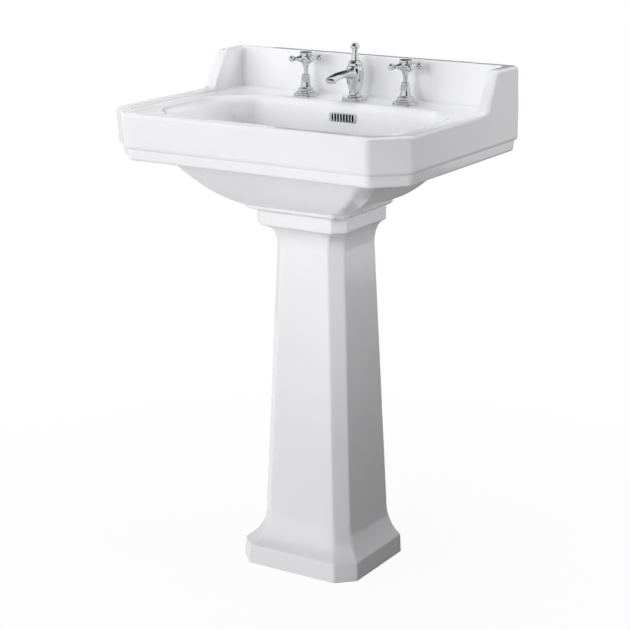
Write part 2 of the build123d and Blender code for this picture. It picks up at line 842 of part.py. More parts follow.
with BuildPart() as lift_knob:
    head_z = knob_z + knob_head
    with BuildSketch(turning_plane(0, tap_y)):
        with BuildLine():
            neck = ThreePointArc(
                (knob_base_r, knob_z), (knob_waist_r, knob_z + knob_waist), (knob_throat_r, head_z)
            )
            dome = Spline((knob_r, head_z), (0, knob_z + knob_height), tangents=((0, 1), (-1, 0)))
            Line(neck @ 1, dome @ 0)
            Polyline(dome @ 1, (0, knob_z), neck @ 0)
        make_face()
    revolve(axis=spout_axis)
    with BuildSketch(Plane((0, tap_y, knob_z))):
        Circle(lift_rod_r + fit_gap)
    extrude(amount=knob_bore_depth, mode=Mode.SUBTRACT)
save(lift_knob, "lift_knob")

with BuildPart() as clevis_strap:
    with BuildSketch(Plane((0, tap_y, block_foot_z))):
        Rectangle(strap_block, strap_block)
        Circle(lift_rod_r + fit_gap, mode=Mode.SUBTRACT)
    extrude(amount=strap_block_height)
    with BuildSketch(Plane((0, strap_y, strap_foot_z))):
        Rectangle(strap_width, strap_thickness)
    extrude(amount=strap_top_z - strap_foot_z)
    with BuildSketch(Plane((0, tap_y, rod_hole_z), x_dir=(1, 0, 0), z_dir=(0, 1, 0))):
        for hole in range(strap_hole_count):
            with Locations((0, -hole * strap_hole_pitch)):
                Circle(pivot_rod_r + strap_hole_gap)
    extrude(amount=strap_block, mode=Mode.SUBTRACT)
    screw_z = strap_top_z - strap_block_height / 2
    with BuildSketch(Plane((0, tap_y, screw_z), x_dir=(1, 0, 0), z_dir=(0, -1, 0))):
        Circle(clevis_screw_r + fit_gap)
    extrude(amount=strap_block, mode=Mode.SUBTRACT)
save(clevis_strap, "clevis_strap")

with BuildPart() as clevis_screw:
    screw_plane = Plane(
        (0, tap_y - lift_rod_r - fit_gap, screw_z),
        x_dir=(1, 0, 0),
        z_dir=(0, -1, 0),
    )
    with BuildSketch(screw_plane):
        Circle(clevis_screw_r)
    extrude(amount=strap_block / 2 - lift_rod_r)
    with BuildSketch(screw_plane.offset(strap_block / 2 - lift_rod_r)):
        Circle(clevis_head_r)
    extrude(amount=clevis_head_length)
save(clevis_screw, "clevis_screw")

with BuildPart() as spring_clip:
    clip_plane = rod_plane.offset(arm_out / cos(tilt))
    leaf = strap_thickness / 2 + clip_gap
    for start in (-leaf - clip_thickness, leaf):
        with BuildSketch(clip_plane.offset(start)):
            with Locations((0, between(-clip_top, clip_drop, 0.5))):
                Rectangle(clip_width, clip_top + clip_drop)
            Circle(pivot_rod_r + run_gap, mode=Mode.SUBTRACT)
        extrude(amount=clip_thickness)
    with BuildSketch(clip_plane.offset(-leaf)):
        with Locations((0, clip_drop - clip_thickness / 2)):
            Rectangle(clip_width, clip_thickness)
    extrude(amount=2 * leaf)
save(spring_clip, "spring_clip")

# Bottle trap under the waste
nut_top_z = tube_foot_z - tail_clear
seal_top_z = nut_top_z - trap_nut_wall
spigot_top_z = seal_top_z - trap_seal_height
trap_top_z = spigot_top_z - trap_spigot_height
trap_foot_z = trap_top_z - trap_head_height
cup_top_z = trap_foot_z - cup_seal_height
outlet_z = between(trap_foot_z, trap_top_z, 0.5)
outlet_end_y = waste_y + trap_r + outlet_spigot
outlet_seal_y = outlet_end_y + trap_seal_height
outlet_nut_y = outlet_seal_y + trap_nut_wall
tail_foot_z = spigot_top_z - pipe_lap
dip_top_z = tail_foot_z - fit_gap

with BuildPart() as waste_tailpiece:
    with BuildSketch(turning_plane(0, waste_y)):
        add(tube_section(pipe_r - pipe_wall, pipe_r, tail_foot_z, tube_foot_z + tail_socket))
    revolve(axis=waste_axis)
save(waste_tailpiece, "waste_tailpiece")

with BuildPart() as trap_inlet_nut:
    with BuildSketch(Plane((0, waste_y, nut_top_z - trap_nut_height))):
        add(hexagon_ring(trap_nut_flat, spigot_r + fit_gap))
    extrude(amount=trap_nut_height - trap_nut_wall)
    with BuildSketch(Plane((0, waste_y, seal_top_z))):
        add(hexagon_ring(trap_nut_flat, pipe_r + fit_gap))
    extrude(amount=trap_nut_wall)
save(trap_inlet_nut, "trap_inlet_nut")

with BuildPart() as trap_inlet_seal:
    with BuildSketch(turning_plane(0, waste_y)):
        add(tube_section(pipe_r + fit_gap, spigot_r - fit_gap, spigot_top_z, seal_top_z))
    revolve(axis=waste_axis)
save(trap_inlet_seal, "trap_inlet_seal")

with BuildPart() as trap_body:
    with BuildSketch(turning_plane(0, waste_y)):
        add(
            half_section(
                (0, spigot_top_z),
                (spigot_r, spigot_top_z),
                (spigot_r, trap_top_z),
                (trap_r, trap_top_z - trap_roof),
                (trap_r, trap_foot_z),
                (skirt_r, trap_foot_z),
                (skirt_r, trap_foot_z - skirt_height),
                (0, trap_foot_z - skirt_height),
            )
        )
    revolve(axis=waste_axis)
    outlet_plane = Plane((0, waste_y, outlet_z), x_dir=(1, 0, 0), z_dir=(0, 1, 0))
    with BuildSketch(outlet_plane):
        Circle(spigot_r)
    extrude(amount=trap_r + outlet_spigot)
    with BuildSketch(turning_plane(0, waste_y)):
        add(
            half_section(
                (0, spigot_top_z),
                (pipe_r + fit_gap, spigot_top_z),
                (pipe_r + fit_gap, trap_top_z - trap_roof),
                (skirt_bore_r, trap_top_z - trap_roof - (skirt_bore_r - pipe_r)),
                (skirt_bore_r, trap_foot_z - skirt_height),
                (0, trap_foot_z - skirt_height),
            )
        )
    revolve(axis=waste_axis, mode=Mode.SUBTRACT)
    for start, radius in ((0.0, pipe_r - pipe_wall), (trap_r + outlet_spigot - pipe_lap, pipe_r + fit_gap)):
        with BuildSketch(outlet_plane.offset(start)):
            Circle(radius)
        extrude(amount=trap_r + outlet_spigot - start, mode=Mode.SUBTRACT)
save(trap_body, "trap_body")

with BuildPart() as trap_dip_tube:
    with BuildSketch(turning_plane(0, waste_y)):
        add(tube_section(pipe_r - pipe_wall, pipe_r, dip_top_z - dip_height, dip_top_z))
    revolve(axis=waste_axis)
save(trap_dip_tube, "trap_dip_tube")

with BuildPart() as trap_cup_seal:
    with BuildSketch(turning_plane(0, waste_y)):
        add(tube_section(skirt_r + fit_gap, trap_r, cup_top_z, trap_foot_z))
    revolve(axis=waste_axis)
save(trap_cup_seal, "trap_cup_seal")

with BuildPart() as trap_cup:
    cup_foot_z = cup_top_z - cup_height
    with BuildSketch(turning_plane(0, waste_y)):
        add(
            half_section(
                (0, cup_foot_z),
                (trap_r - cup_round, cup_foot_z),
                (trap_r, cup_foot_z + cup_round),
                (trap_r, cup_top_z),
                (skirt_r + fit_gap, cup_top_z),
                (skirt_r + fit_gap, cup_foot_z + cup_round),
                (skirt_r - cup_round, cup_foot_z + cup_floor),
                (0, cup_foot_z + cup_floor),
            )
        )
    revolve(axis=waste_axis)
save(trap_cup, "trap_cup")

with BuildPart() as trap_outlet_nut:
    nut_plane = Plane((0, outlet_nut_y, outlet_z), x_dir=(1, 0, 0), z_dir=(0, -1, 0))
    with BuildSketch(nut_plane):
        add(hexagon_ring(trap_nut_flat, pipe_r + fit_gap))
    extrude(amount=trap_nut_wall)
    with BuildSketch(nut_plane.offset(trap_nut_wall)):
        add(hexagon_ring(trap_nut_flat, spigot_r + fit_gap))
    extrude(amount=trap_nut_height - trap_nut_wall)
save(trap_outlet_nut, "trap_outlet_nut")

with BuildPart() as trap_outlet_seal:
    with BuildSketch(Plane((0, outlet_end_y, outlet_z), x_dir=(1, 0, 0), z_dir=(0, 1, 0))):
        Circle(spigot_r - fit_gap)
        Circle(pipe_r + fit_gap, mode=Mode.SUBTRACT)
    extrude(amount=trap_seal_height)
save(trap_outlet_seal, "trap_outlet_seal")

with BuildPart() as trap_outlet_pipe:
    with BuildSketch(Plane((0, outlet_end_y - pipe_lap, outlet_z), x_dir=(1, 0, 0), z_dir=(0, 1, 0))):
        Circle(pipe_r)
        Circle(pipe_r - pipe_wall, mode=Mode.SUBTRACT)
    extrude(amount=outlet_nut_y + outlet_stub - outlet_end_y + pipe_lap)
    with BuildSketch(Plane((0, outlet_nut_y + outlet_stub, outlet_z), x_dir=(1, 0, 0), z_dir=(0, -1, 0))):
        Circle(pipe_r + outlet_swage)
        Circle(pipe_r - pipe_wall, mode=Mode.SUBTRACT)
    extrude(amount=outlet_swage_length)
save(trap_outlet_pipe, "trap_outlet_pipe")

# Spout: flange, cast body with a flattened nose, bonnet, and the tee that feeds it
flange_z = deck_z + flange_height
outlet_y = tap_y - outlet_reach
outlet_foot_z = deck_z + outlet_height
straightener_z = outlet_foot_z + outlet_depth - straightener_thickness
shank_foot_z = deck_z - shank_drop
port_z = tee_top_z - tee_height / 2
washer_z = under_deck_z - washer_thickness

with BuildPart() as spout_flange:
    with BuildSketch(turning_plane(0, tap_y)):
        add(
            half_section(
                (shank_r + fit_gap, deck_z),
                (spout_flange_r, deck_z),
                (spout_flange_r, flange_z - flange_edge),
                (spout_flange_r - flange_edge, flange_z),
                (shank_r + fit_gap, flange_z),
            )
        )
    revolve(axis=spout_axis)
save(spout_flange, "spout_flange")

with BuildPart() as spout_body:
    with BuildSketch(turning_plane(0, tap_y)):
        with BuildLine():
            side = Spline(
                (spout_base_r, deck_z + spout_base_top),
                (spout_neck_r, deck_z + spout_neck),
                (spout_belly_r, deck_z + spout_belly),
                (bonnet_r, bonnet_z),
            )
            Polyline(
                side @ 1,
                (0, bonnet_z),
                (0, shank_foot_z),
                (shank_r, shank_foot_z),
                (shank_r, flange_z),
                (spout_base_r, flange_z),
                side @ 0,
            )
        make_face()
    revolve(axis=spout_axis)
    for reach, height, half_width, half_height in nose_sections:
        with BuildSketch(Plane((0, tap_y - reach, deck_z + height), x_dir=(1, 0, 0), z_dir=(0, -1, 0))):
            Ellipse(half_width, half_height)
    loft()
    root = spout_body.edges().filter_by_position(Axis.Y, tap_y - spout_belly_r, tap_y - spout_neck_r)
    fillet(root, nose_root_round)
    with BuildSketch(Plane((0, outlet_y, outlet_foot_z))):
        Circle(outlet_r)
    extrude(amount=outlet_r)
    with BuildSketch(Plane((0, outlet_y, outlet_foot_z))):
        Circle(outlet_bore_r)
    extrude(amount=outlet_depth, mode=Mode.SUBTRACT)
    with BuildSketch(Plane((0, tap_y, shank_foot_z))):
        Circle(lift_rod_r + run_gap)
    extrude(amount=bonnet_z - shank_foot_z, mode=Mode.SUBTRACT)
save(spout_body, "spout_body")

with BuildPart() as spout_straightener:
    with BuildSketch(Plane((0, outlet_y, straightener_z))):
        Circle(outlet_bore_r - fit_gap)
        Circle(straightener_hole_r, mode=Mode.SUBTRACT)
        with PolarLocations(straightener_ring, straightener_holes):
            Circle(straightener_hole_r, mode=Mode.SUBTRACT)
    extrude(amount=straightener_thickness)
save(spout_straightener, "spout_straightener")

with BuildPart() as spout_bonnet:
    with BuildSketch(turning_plane(0, tap_y)):
        with BuildLine():
            dome = ThreePointArc(
                (bonnet_r, bonnet_z),
                (bonnet_shoulder_r, bonnet_z + bonnet_shoulder),
                (bonnet_top_r, bonnet_z + bonnet_height),
            )
            Polyline(
                dome @ 1,
                (lift_rod_r + run_gap, bonnet_z + bonnet_height),
                (lift_rod_r + run_gap, bonnet_z),
                dome @ 0,
            )
        make_face()
    revolve(axis=spout_axis)
save(spout_bonnet, "spout_bonnet")

with BuildPart() as spout_washer:
    with BuildSketch(turning_plane(0, tap_y)):
        add(tube_section(shank_r + fit_gap, washer_r, washer_z, under_deck_z))
    revolve(axis=spout_axis)
save(spout_washer, "spout_washer")

with BuildPart() as spout_back_nut:
    with BuildSketch(Plane((0, tap_y, washer_z))):
        add(hexagon_ring(deck_nut_flat, shank_r + fit_gap))
    extrude(amount=-deck_nut_height)
save(spout_back_nut, "spout_back_nut")

with BuildPart() as spout_tee:
    with BuildSketch(Plane((0, tap_y, tee_foot_z))):
        Circle(tee_r)
    extrude(amount=tee_height)
    with BuildSketch(Plane((0, tap_y, port_z), x_dir=(0, 1, 0), z_dir=(1, 0, 0))):
        Circle(port_boss_r)
    extrude(amount=port_reach, both=True)
    with BuildSketch(turning_plane(0, tap_y)):
        add(
            half_section(
                (0, tee_top_z),
                (shank_r + fit_gap, tee_top_z),
                (shank_r + fit_gap, shank_foot_z),
                (tee_chamber_r, shank_foot_z),
                (tee_chamber_r, tee_foot_z + tee_floor),
                (lift_rod_r + run_gap, tee_foot_z + tee_floor),
                (lift_rod_r + run_gap, tee_foot_z),
                (0, tee_foot_z),
            )
        )
    revolve(axis=spout_axis, mode=Mode.SUBTRACT)
    with BuildSketch(Plane((0, tap_y, port_z), x_dir=(0, 1, 0), z_dir=(1, 0, 0))):
        Circle(link_pipe_r - link_pipe_wall)
    extrude(amount=port_reach, both=True, mode=Mode.SUBTRACT)
    for side in (-1, 1):
        end = side * (port_reach - link_socket)
        with BuildSketch(Plane((end, tap_y, port_z), x_dir=(0, 1, 0), z_dir=(side, 0, 0))):
            Circle(link_pipe_r + fit_gap)
        extrude(amount=link_socket, mode=Mode.SUBTRACT)
save(spout_tee, "spout_tee")

# Hot valve on the left, cold valve on the right
valve_top_z = deck_z + valve_top
cartridge_foot_z = deck_z - cartridge_foot
cartridge_top_z = deck_z + cartridge_top
spindle_foot_z = deck_z - spindle_foot
spindle_top_z = deck_z + spindle_top
inlet_foot_z = tee_foot_z - inlet_length
hub_foot_z = deck_z + hub_foot
hub_top_z = deck_z + hub_top
recess_z = hub_top_z - cap_recess_depth
arm_z = deck_z + arm_height
arm_root = between(cap_recess_r, hub_r, 0.5)

for side, sign in (("hot", -1), ("cold", 1)):
    valve_x = sign * tap_pitch / 2
    valve_axis = Axis((valve_x, tap_y, 0), (0, 0, 1))
    section_plane = turning_plane(valve_x, tap_y)

    with BuildPart() as flange:
        with BuildSketch(section_plane):
            add(
                half_section(
                    (valve_shank_r + fit_gap, deck_z),
                    (valve_flange_r, deck_z),
                    (valve_flange_r, flange_z - flange_edge),
                    (valve_flange_r - flange_edge, flange_z),
                    (valve_shank_r + fit_gap, flange_z),
                )
            )
        revolve(axis=valve_axis)
    save(flange, f"{side}_flange")

    with BuildPart() as shroud:
        with BuildSketch(section_plane):
            add(
                half_section(
                    (valve_shank_r + fit_gap, flange_z),
                    (shroud_foot_r, flange_z),
                    (shroud_foot_r, deck_z + shroud_foot_top),
                    (shroud_collar_r, deck_z + shroud_foot_top),
                    (shroud_collar_r, deck_z + shroud_collar_top),
                    (shroud_r, deck_z + cartridge_top),
                    (shroud_waist_r, deck_z + shroud_waist),
                    (shroud_waist_r, deck_z + shroud_sleeve_top),
                    (shroud_neck_r, deck_z + shroud_sleeve_top),
                    (shroud_neck_r, deck_z + shroud_top),
                    (spindle_r + run_gap, deck_z + shroud_top),
                    (spindle_r + run_gap, cartridge_top_z + fit_gap),
                    (cartridge_r + fit_gap, cartridge_top_z + fit_gap),
                    (cartridge_r + fit_gap, valve_top_z + fit_gap),
                    (valve_shank_r + fit_gap, valve_top_z + fit_gap),
                )
            )
        revolve(axis=valve_axis)
    save(shroud, f"{side}_shroud")

    with BuildPart() as valve_body:
        with BuildSketch(section_plane):
            add(
                half_section(
                    (0, valve_top_z),
                    (valve_shank_r, valve_top_z),
                    (valve_shank_r, tee_top_z),
                    (tee_r, tee_top_z),
                    (tee_r, tee_foot_z),
                    (inlet_r, tee_foot_z),
                    (inlet_r, inlet_foot_z),
                    (0, inlet_foot_z),
                )
            )
        revolve(axis=valve_axis)
        port_plane = Plane((valve_x, tap_y, port_z), x_dir=(0, 1, 0), z_dir=(-sign, 0, 0))
        with BuildSketch(port_plane):
            Circle(port_boss_r)
        extrude(amount=port_reach)
        with BuildSketch(section_plane):
            add(
                half_section(
                    (0, valve_top_z),
                    (cartridge_r + fit_gap, valve_top_z),
                    (cartridge_r + fit_gap, cartridge_foot_z),
                    (inlet_bore_r, cartridge_foot_z),
                    (inlet_bore_r, inlet_foot_z),
                    (0, inlet_foot_z),
                )
            )
        revolve(axis=valve_axis, mode=Mode.SUBTRACT)
        for start, radius in (
            (0.0, link_pipe_r - link_pipe_wall),
            (port_reach - link_socket, link_pipe_r + fit_gap),
        ):
            with BuildSketch(port_plane.offset(start)):
                Circle(radius)
            extrude(amount=port_reach - start, mode=Mode.SUBTRACT)
    save(valve_body, f"{side}_valve_body")

    with BuildPart() as cartridge:
        with BuildSketch(section_plane):
            add(
                half_section(
                    (0, cartridge_foot_z),
                    (cartridge_r, cartridge_foot_z),
                    (cartridge_r, cartridge_top_z),
                    (spindle_r + run_gap, cartridge_top_z),
                    (spindle_r + run_gap, spindle_foot_z - free_gap),
                    (0, spindle_foot_z - free_gap),
                )
            )
        revolve(axis=valve_axis)
    save(cartridge, f"{side}_cartridge")

    with BuildPart() as spindle:
        with BuildSketch(section_plane):
            add(
                half_section(
                    (0, spindle_foot_z),
                    (spindle_r, spindle_foot_z),
                    (spindle_r, spindle_top_z),
                    (screw_r + fit_gap, spindle_top_z),
                    (screw_r + fit_gap, spindle_top_z - screw_length),
                    (0, spindle_top_z - screw_length),
                )
            )
        revolve(axis=valve_axis)
    save(spindle, f"{side}_spindle")

    # Handle: a turned hub and four arms with ball ends
    with BuildPart() as handle:
        with BuildSketch(section_plane):
            with BuildLine():
                Polyline(
                    (hub_r, hub_top_z),
                    (cap_recess_r, hub_top_z),
                    (cap_recess_r, recess_z),
                    (screw_r + fit_gap, recess_z),
                    (screw_r + fit_gap, spindle_top_z + fit_gap),
                    (spindle_r + fit_gap, spindle_top_z + fit_gap),
                    (spindle_r + fit_gap, hub_foot_z),
                    (hub_foot_r, hub_foot_z),
                )
                Spline((hub_foot_r, hub_foot_z), (hub_r, arm_z), (hub_r, hub_top_z))
            make_face()
        revolve(axis=valve_axis)
        with Locations((valve_x, tap_y, arm_z)):
            with PolarLocations(between(arm_root, arm_reach, 0.5), arm_count, start_angle=arm_angle):
                Cone(arm_root_r, arm_neck_r, arm_reach - arm_root, rotation=(0, 90, 0))
            with PolarLocations(arm_reach, arm_count, start_angle=arm_angle):
                Sphere(arm_ball_r)
    save(handle, f"{side}_handle")

    with BuildPart() as index_cap:
        with BuildSketch(section_plane):
            add(
                half_section(
                    (0, hub_top_z + cap_thickness),
                    (cap_r - flange_edge, hub_top_z + cap_thickness),
                    (cap_r, hub_top_z + cap_thickness - flange_edge),
                    (cap_r, hub_top_z),
                    (cap_recess_r - fit_gap, hub_top_z),
                    (cap_recess_r - fit_gap, recess_z + fit_gap),
                    (cap_recess_r - cap_wall, recess_z + fit_gap),
                    (cap_recess_r - cap_wall, hub_top_z),
                    (0, hub_top_z),
                )
            )
        revolve(axis=valve_axis)
    save(index_cap, f"{side}_index_cap")

    with BuildPart() as handle_screw:
        with BuildSketch(section_plane):
            add(
                half_section(
                    (0, recess_z + screw_head_height),
                    (screw_head_r, recess_z + screw_head_height),
                    (screw_head_r, recess_z),
                    (screw_r, recess_z),
                    (screw_r, recess_z - screw_length),
                    (0, recess_z - screw_length),
                )
            )
        revolve(axis=valve_axis)
    save(handle_screw, f"{side}_handle_screw")

    with BuildPart() as deck_washer:
        with BuildSketch(section_plane):
            add(tube_section(valve_shank_r + fit_gap, washer_r, washer_z, under_deck_z))
        revolve(axis=valve_axis)
    save(deck_washer, f"{side}_deck_washer")

    with BuildPart() as back_nut:
        with BuildSketch(Plane((valve_x, tap_y, washer_z))):
            add(hexagon_ring(deck_nut_flat, valve_shank_r + fit_gap))
        extrude(amount=-deck_nut_height)
    save(back_nut, f"{side}_back_nut")

    # Link to the spout's tee
    link_start = port_reach - link_socket
    with BuildPart() as link_pipe:
        with BuildSketch(port_plane.offset(link_start)):
            Circle(link_pipe_r)
            Circle(link_pipe_r - link_pipe_wall, mode=Mode.SUBTRACT)
        extrude(amount=tap_pitch / 2 - 2 * link_start)
    save(link_pipe, f"{side}_link_pipe")

    with BuildPart() as link_nuts:
        for start in (port_reach, tap_pitch / 2 - port_reach - link_nut_length):
            with BuildSketch(port_plane.offset(start)):
                add(hexagon_ring(link_nut_flat, link_pipe_r + fit_gap))
            extrude(amount=link_nut_length)
    save(link_nuts, f"{side}_link_nuts")
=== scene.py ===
"""Looks of a white pedestal sink with a chrome three-hole tap set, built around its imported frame.

Sizes of the sink are in millimetres, and those of finishes and studio in metres.
"""

import json
import logging
import math
from dataclasses import dataclass
from enum import Enum
from typing import Callable, Sequence

import bmesh
import bpy
import numpy as np
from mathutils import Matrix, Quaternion, Vector


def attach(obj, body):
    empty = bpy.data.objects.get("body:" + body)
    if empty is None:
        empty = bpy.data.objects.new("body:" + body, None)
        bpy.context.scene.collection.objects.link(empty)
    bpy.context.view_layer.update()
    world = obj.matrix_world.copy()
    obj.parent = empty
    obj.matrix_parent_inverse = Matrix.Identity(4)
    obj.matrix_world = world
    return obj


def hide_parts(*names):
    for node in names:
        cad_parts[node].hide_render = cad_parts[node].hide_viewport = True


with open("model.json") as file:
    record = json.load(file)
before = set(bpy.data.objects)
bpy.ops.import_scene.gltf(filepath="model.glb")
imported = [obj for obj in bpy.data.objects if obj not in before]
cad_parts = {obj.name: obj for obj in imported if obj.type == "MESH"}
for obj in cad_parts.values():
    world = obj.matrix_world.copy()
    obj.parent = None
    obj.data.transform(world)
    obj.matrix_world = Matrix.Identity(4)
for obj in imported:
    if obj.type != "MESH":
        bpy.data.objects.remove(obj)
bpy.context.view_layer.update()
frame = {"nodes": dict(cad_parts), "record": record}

LOG = logging.getLogger("pedestal_sink")
Pair = tuple[float, float]
Triple = tuple[float, float, float]
Rows = tuple[tuple[float, ...], ...]
Rule = Callable[[np.ndarray], np.ndarray]

# A millimetre and the reach of a weld in metres, then lengths in millimetres
MM = 0.001
WELD = 1e-6
TINY = 1e-6
POLE = 1e-9
TAP_SPACING = 100.0
# Turn below which a path is straight, share of an edge that a rounding may use, and its steps
STRAIGHT = 1e-3
EDGE_SHARE = 0.48
ARC_STEPS = 6
# Weight of flat faces in the shading, and angle past which the edges of turned pieces stay crisp
FLAT_WEIGHT = 70
TURNED_CRISP = 30.0
FULL_TURN = 2 * math.pi
QUARTER_TURN = math.pi / 2
WHITE = (1.0, 1.0, 1.0, 1.0)
EVEN: Triple = (1.0, 1.0, 1.0)
ORIGIN: Triple = (0.0, 0.0, 0.0)


class Slot(Enum):
    """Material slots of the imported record."""

    WARE = "ware"
    CHROME = "chrome"
    BRASS = "brass"
    RUBBER = "rubber"
    PLASTIC = "plastic"
    NYLON = "nylon"
    STEEL = "steel"


class Body(Enum):
    """Bodies that the new pieces ride on."""

    STAND = "stand"
    HOT = "hot_handle"
    COLD = "cold_handle"
    LIFT = "lift"


class Change(Enum):
    """Ways to change a piece by a closed shape."""

    JOIN = "UNION"
    CUT = "DIFFERENCE"


class Wire:
    """One output of a shader node, for use in arithmetic."""

    def __init__(self, graph: "Graph", socket: bpy.types.NodeSocket | None) -> None:
        """Hold a socket and the graph it belongs to."""
        self.graph = graph
        self.socket = socket

    def _math(self, operation: str, first: "Wire | float", second: "Wire | float") -> "Wire":
        """Add one Math node."""
        return self.graph.add("ShaderNodeMath", {"operation": operation}, {0: first, 1: second})

    def __add__(self, other: "Wire | float") -> "Wire":
        """Sum of two values."""
        return self._math("ADD", self, other)

    def __radd__(self, other: float) -> "Wire":
        """Sum with a number on the left."""
        return self._math("ADD", other, self)

    def __sub__(self, other: "Wire | float") -> "Wire":
        """Difference of two values."""
        return self._math("SUBTRACT", self, other)

    def __rsub__(self, other: float) -> "Wire":
        """Difference with a number on the left."""
        return self._math("SUBTRACT", other, self)

    def __mul__(self, other: "Wire | float") -> "Wire":
        """Product of two values."""
        return self._math("MULTIPLY", self, other)

    def __rmul__(self, other: float) -> "Wire":
        """Product with a number on the left."""
        return self._math("MULTIPLY", other, self)

    def __abs__(self) -> "Wire":
        """Value without its sign."""
        return self._math("ABSOLUTE", self, 0.0)

    def at_most(self, other: "Wire | float") -> "Wire":
        """Smaller of two values."""
        return self._math("MINIMUM", self, other)

    def under(self, other: "Wire | float") -> "Wire":
        """One where the value is below another, else zero."""
        return self._math("LESS_THAN", self, other)


class Graph:
    """Node tree of one material or world."""

    RAMP = (0.1, 0.3, 0.7)

    def __init__(self, tree: bpy.types.NodeTree) -> None:
        """Empty the tree."""
        self.tree = tree
        tree.nodes.clear()

    def add(
        self,
        kind: str,
        settings: dict | None = None,
        sockets: dict | None = None,
        output: int | str = 0,
    ) -> Wire:
        """Add a node.

        Args:
            kind: type name of the node.
            settings: attributes, set first; "stops" gives a ramp's places and colours.
            sockets: values or wires by input name or number.
            output: output to hand back.

        Returns:
            Wire from the output, which is empty for a node that ends the tree.
        """
        node = self.tree.nodes.new(kind)
        for key, value in (settings or {}).items():
            if key == "stops":
                self._stops(node.color_ramp, value)
            else:
                setattr(node, key, value)
        for key, value in (sockets or {}).items():
            if isinstance(value, Wire):
                self.tree.links.new(value.socket, node.inputs[key])
            else:
                node.inputs[key].default_value = value
        return Wire(self, node.outputs[output] if len(node.outputs) else None)

    @staticmethod
    def _stops(ramp: bpy.types.ColorRamp, stops: Sequence[tuple[float, Sequence[float]]]) -> None:
        """Set the stops of a colour ramp.

        Args:
            ramp: ramp of a node.
            stops: place and colour of each stop, in order.
        """
        while len(ramp.elements) < len(stops):
            ramp.elements.new(stops[0][0])
        for element, (place, colour) in zip(ramp.elements, stops):
            element.position = place
            element.color = colour

    def place(self, stretch: Triple = EVEN) -> Wire:
        """Object coordinates, stretched along the axes."""
        where = self.add("ShaderNodeTexCoord", output="Object")
        return self.add("ShaderNodeMapping", {}, {"Vector": where, "Scale": stretch})

    def noise(self, scale: float, detail: float, stretch: Triple = EVEN) -> Wire:
        """Noise value of a given fineness, per metre."""
        sockets = {"Vector": self.place(stretch), "Scale": scale, "Detail": detail}
        return self.add("ShaderNodeTexNoise", {}, sockets)

    def mix(self, factor: Wire, *colours: Triple) -> Wire:
        """Colour from a row of two or three colours.

        Args:
            factor: value that chooses among the colours.
            colours: colours that stand at the last places of RAMP.

        Returns:
            Wire of the colour.
        """
        places = self.RAMP[-len(colours) :]
        stops = [(place, (*colour, 1.0)) for place, colour in zip(places, colours)]
        return self.add("ShaderNodeValToRGB", {"stops": stops}, {"Fac": factor})

    def bump(self, height: Wire, strength: float, distance: float) -> Wire:
        """Normal from a height, where distance is in metres."""
        return self.add("ShaderNodeBump", {}, {"Height": height, "Strength": strength, "Distance": distance})

    def end(self, shader: Wire) -> None:
        """End a material's tree in a shader."""
        self.add("ShaderNodeOutputMaterial", {}, {"Surface": shader})

    def surface(self, sockets: dict) -> None:
        """End the tree in one principled surface."""
        self.end(self.add("ShaderNodeBsdfPrincipled", {}, sockets))


def blank(name: str) -> tuple[bpy.types.Material, Graph]:
    """Make a material.

    Args:
        name: name of the material.

    Returns:
        The material and its empty node tree.
    """
    material = bpy.data.materials.new(name)
    material.use_nodes = True
    return material, Graph(material.node_tree)


@dataclass(frozen=True)
class Finish:
    """Base of all finishes; a noise is given by its scale per metre and its detail."""

    name: str

    def build(self) -> bpy.types.Material:
        """Make the material.

        Returns:
            The material with its nodes laid.
        """
        material, graph = blank(self.name)
        self.lay(graph)
        return material

    def lay(self, graph: Graph) -> None:
        """Fill the node tree."""
        raise NotImplementedError


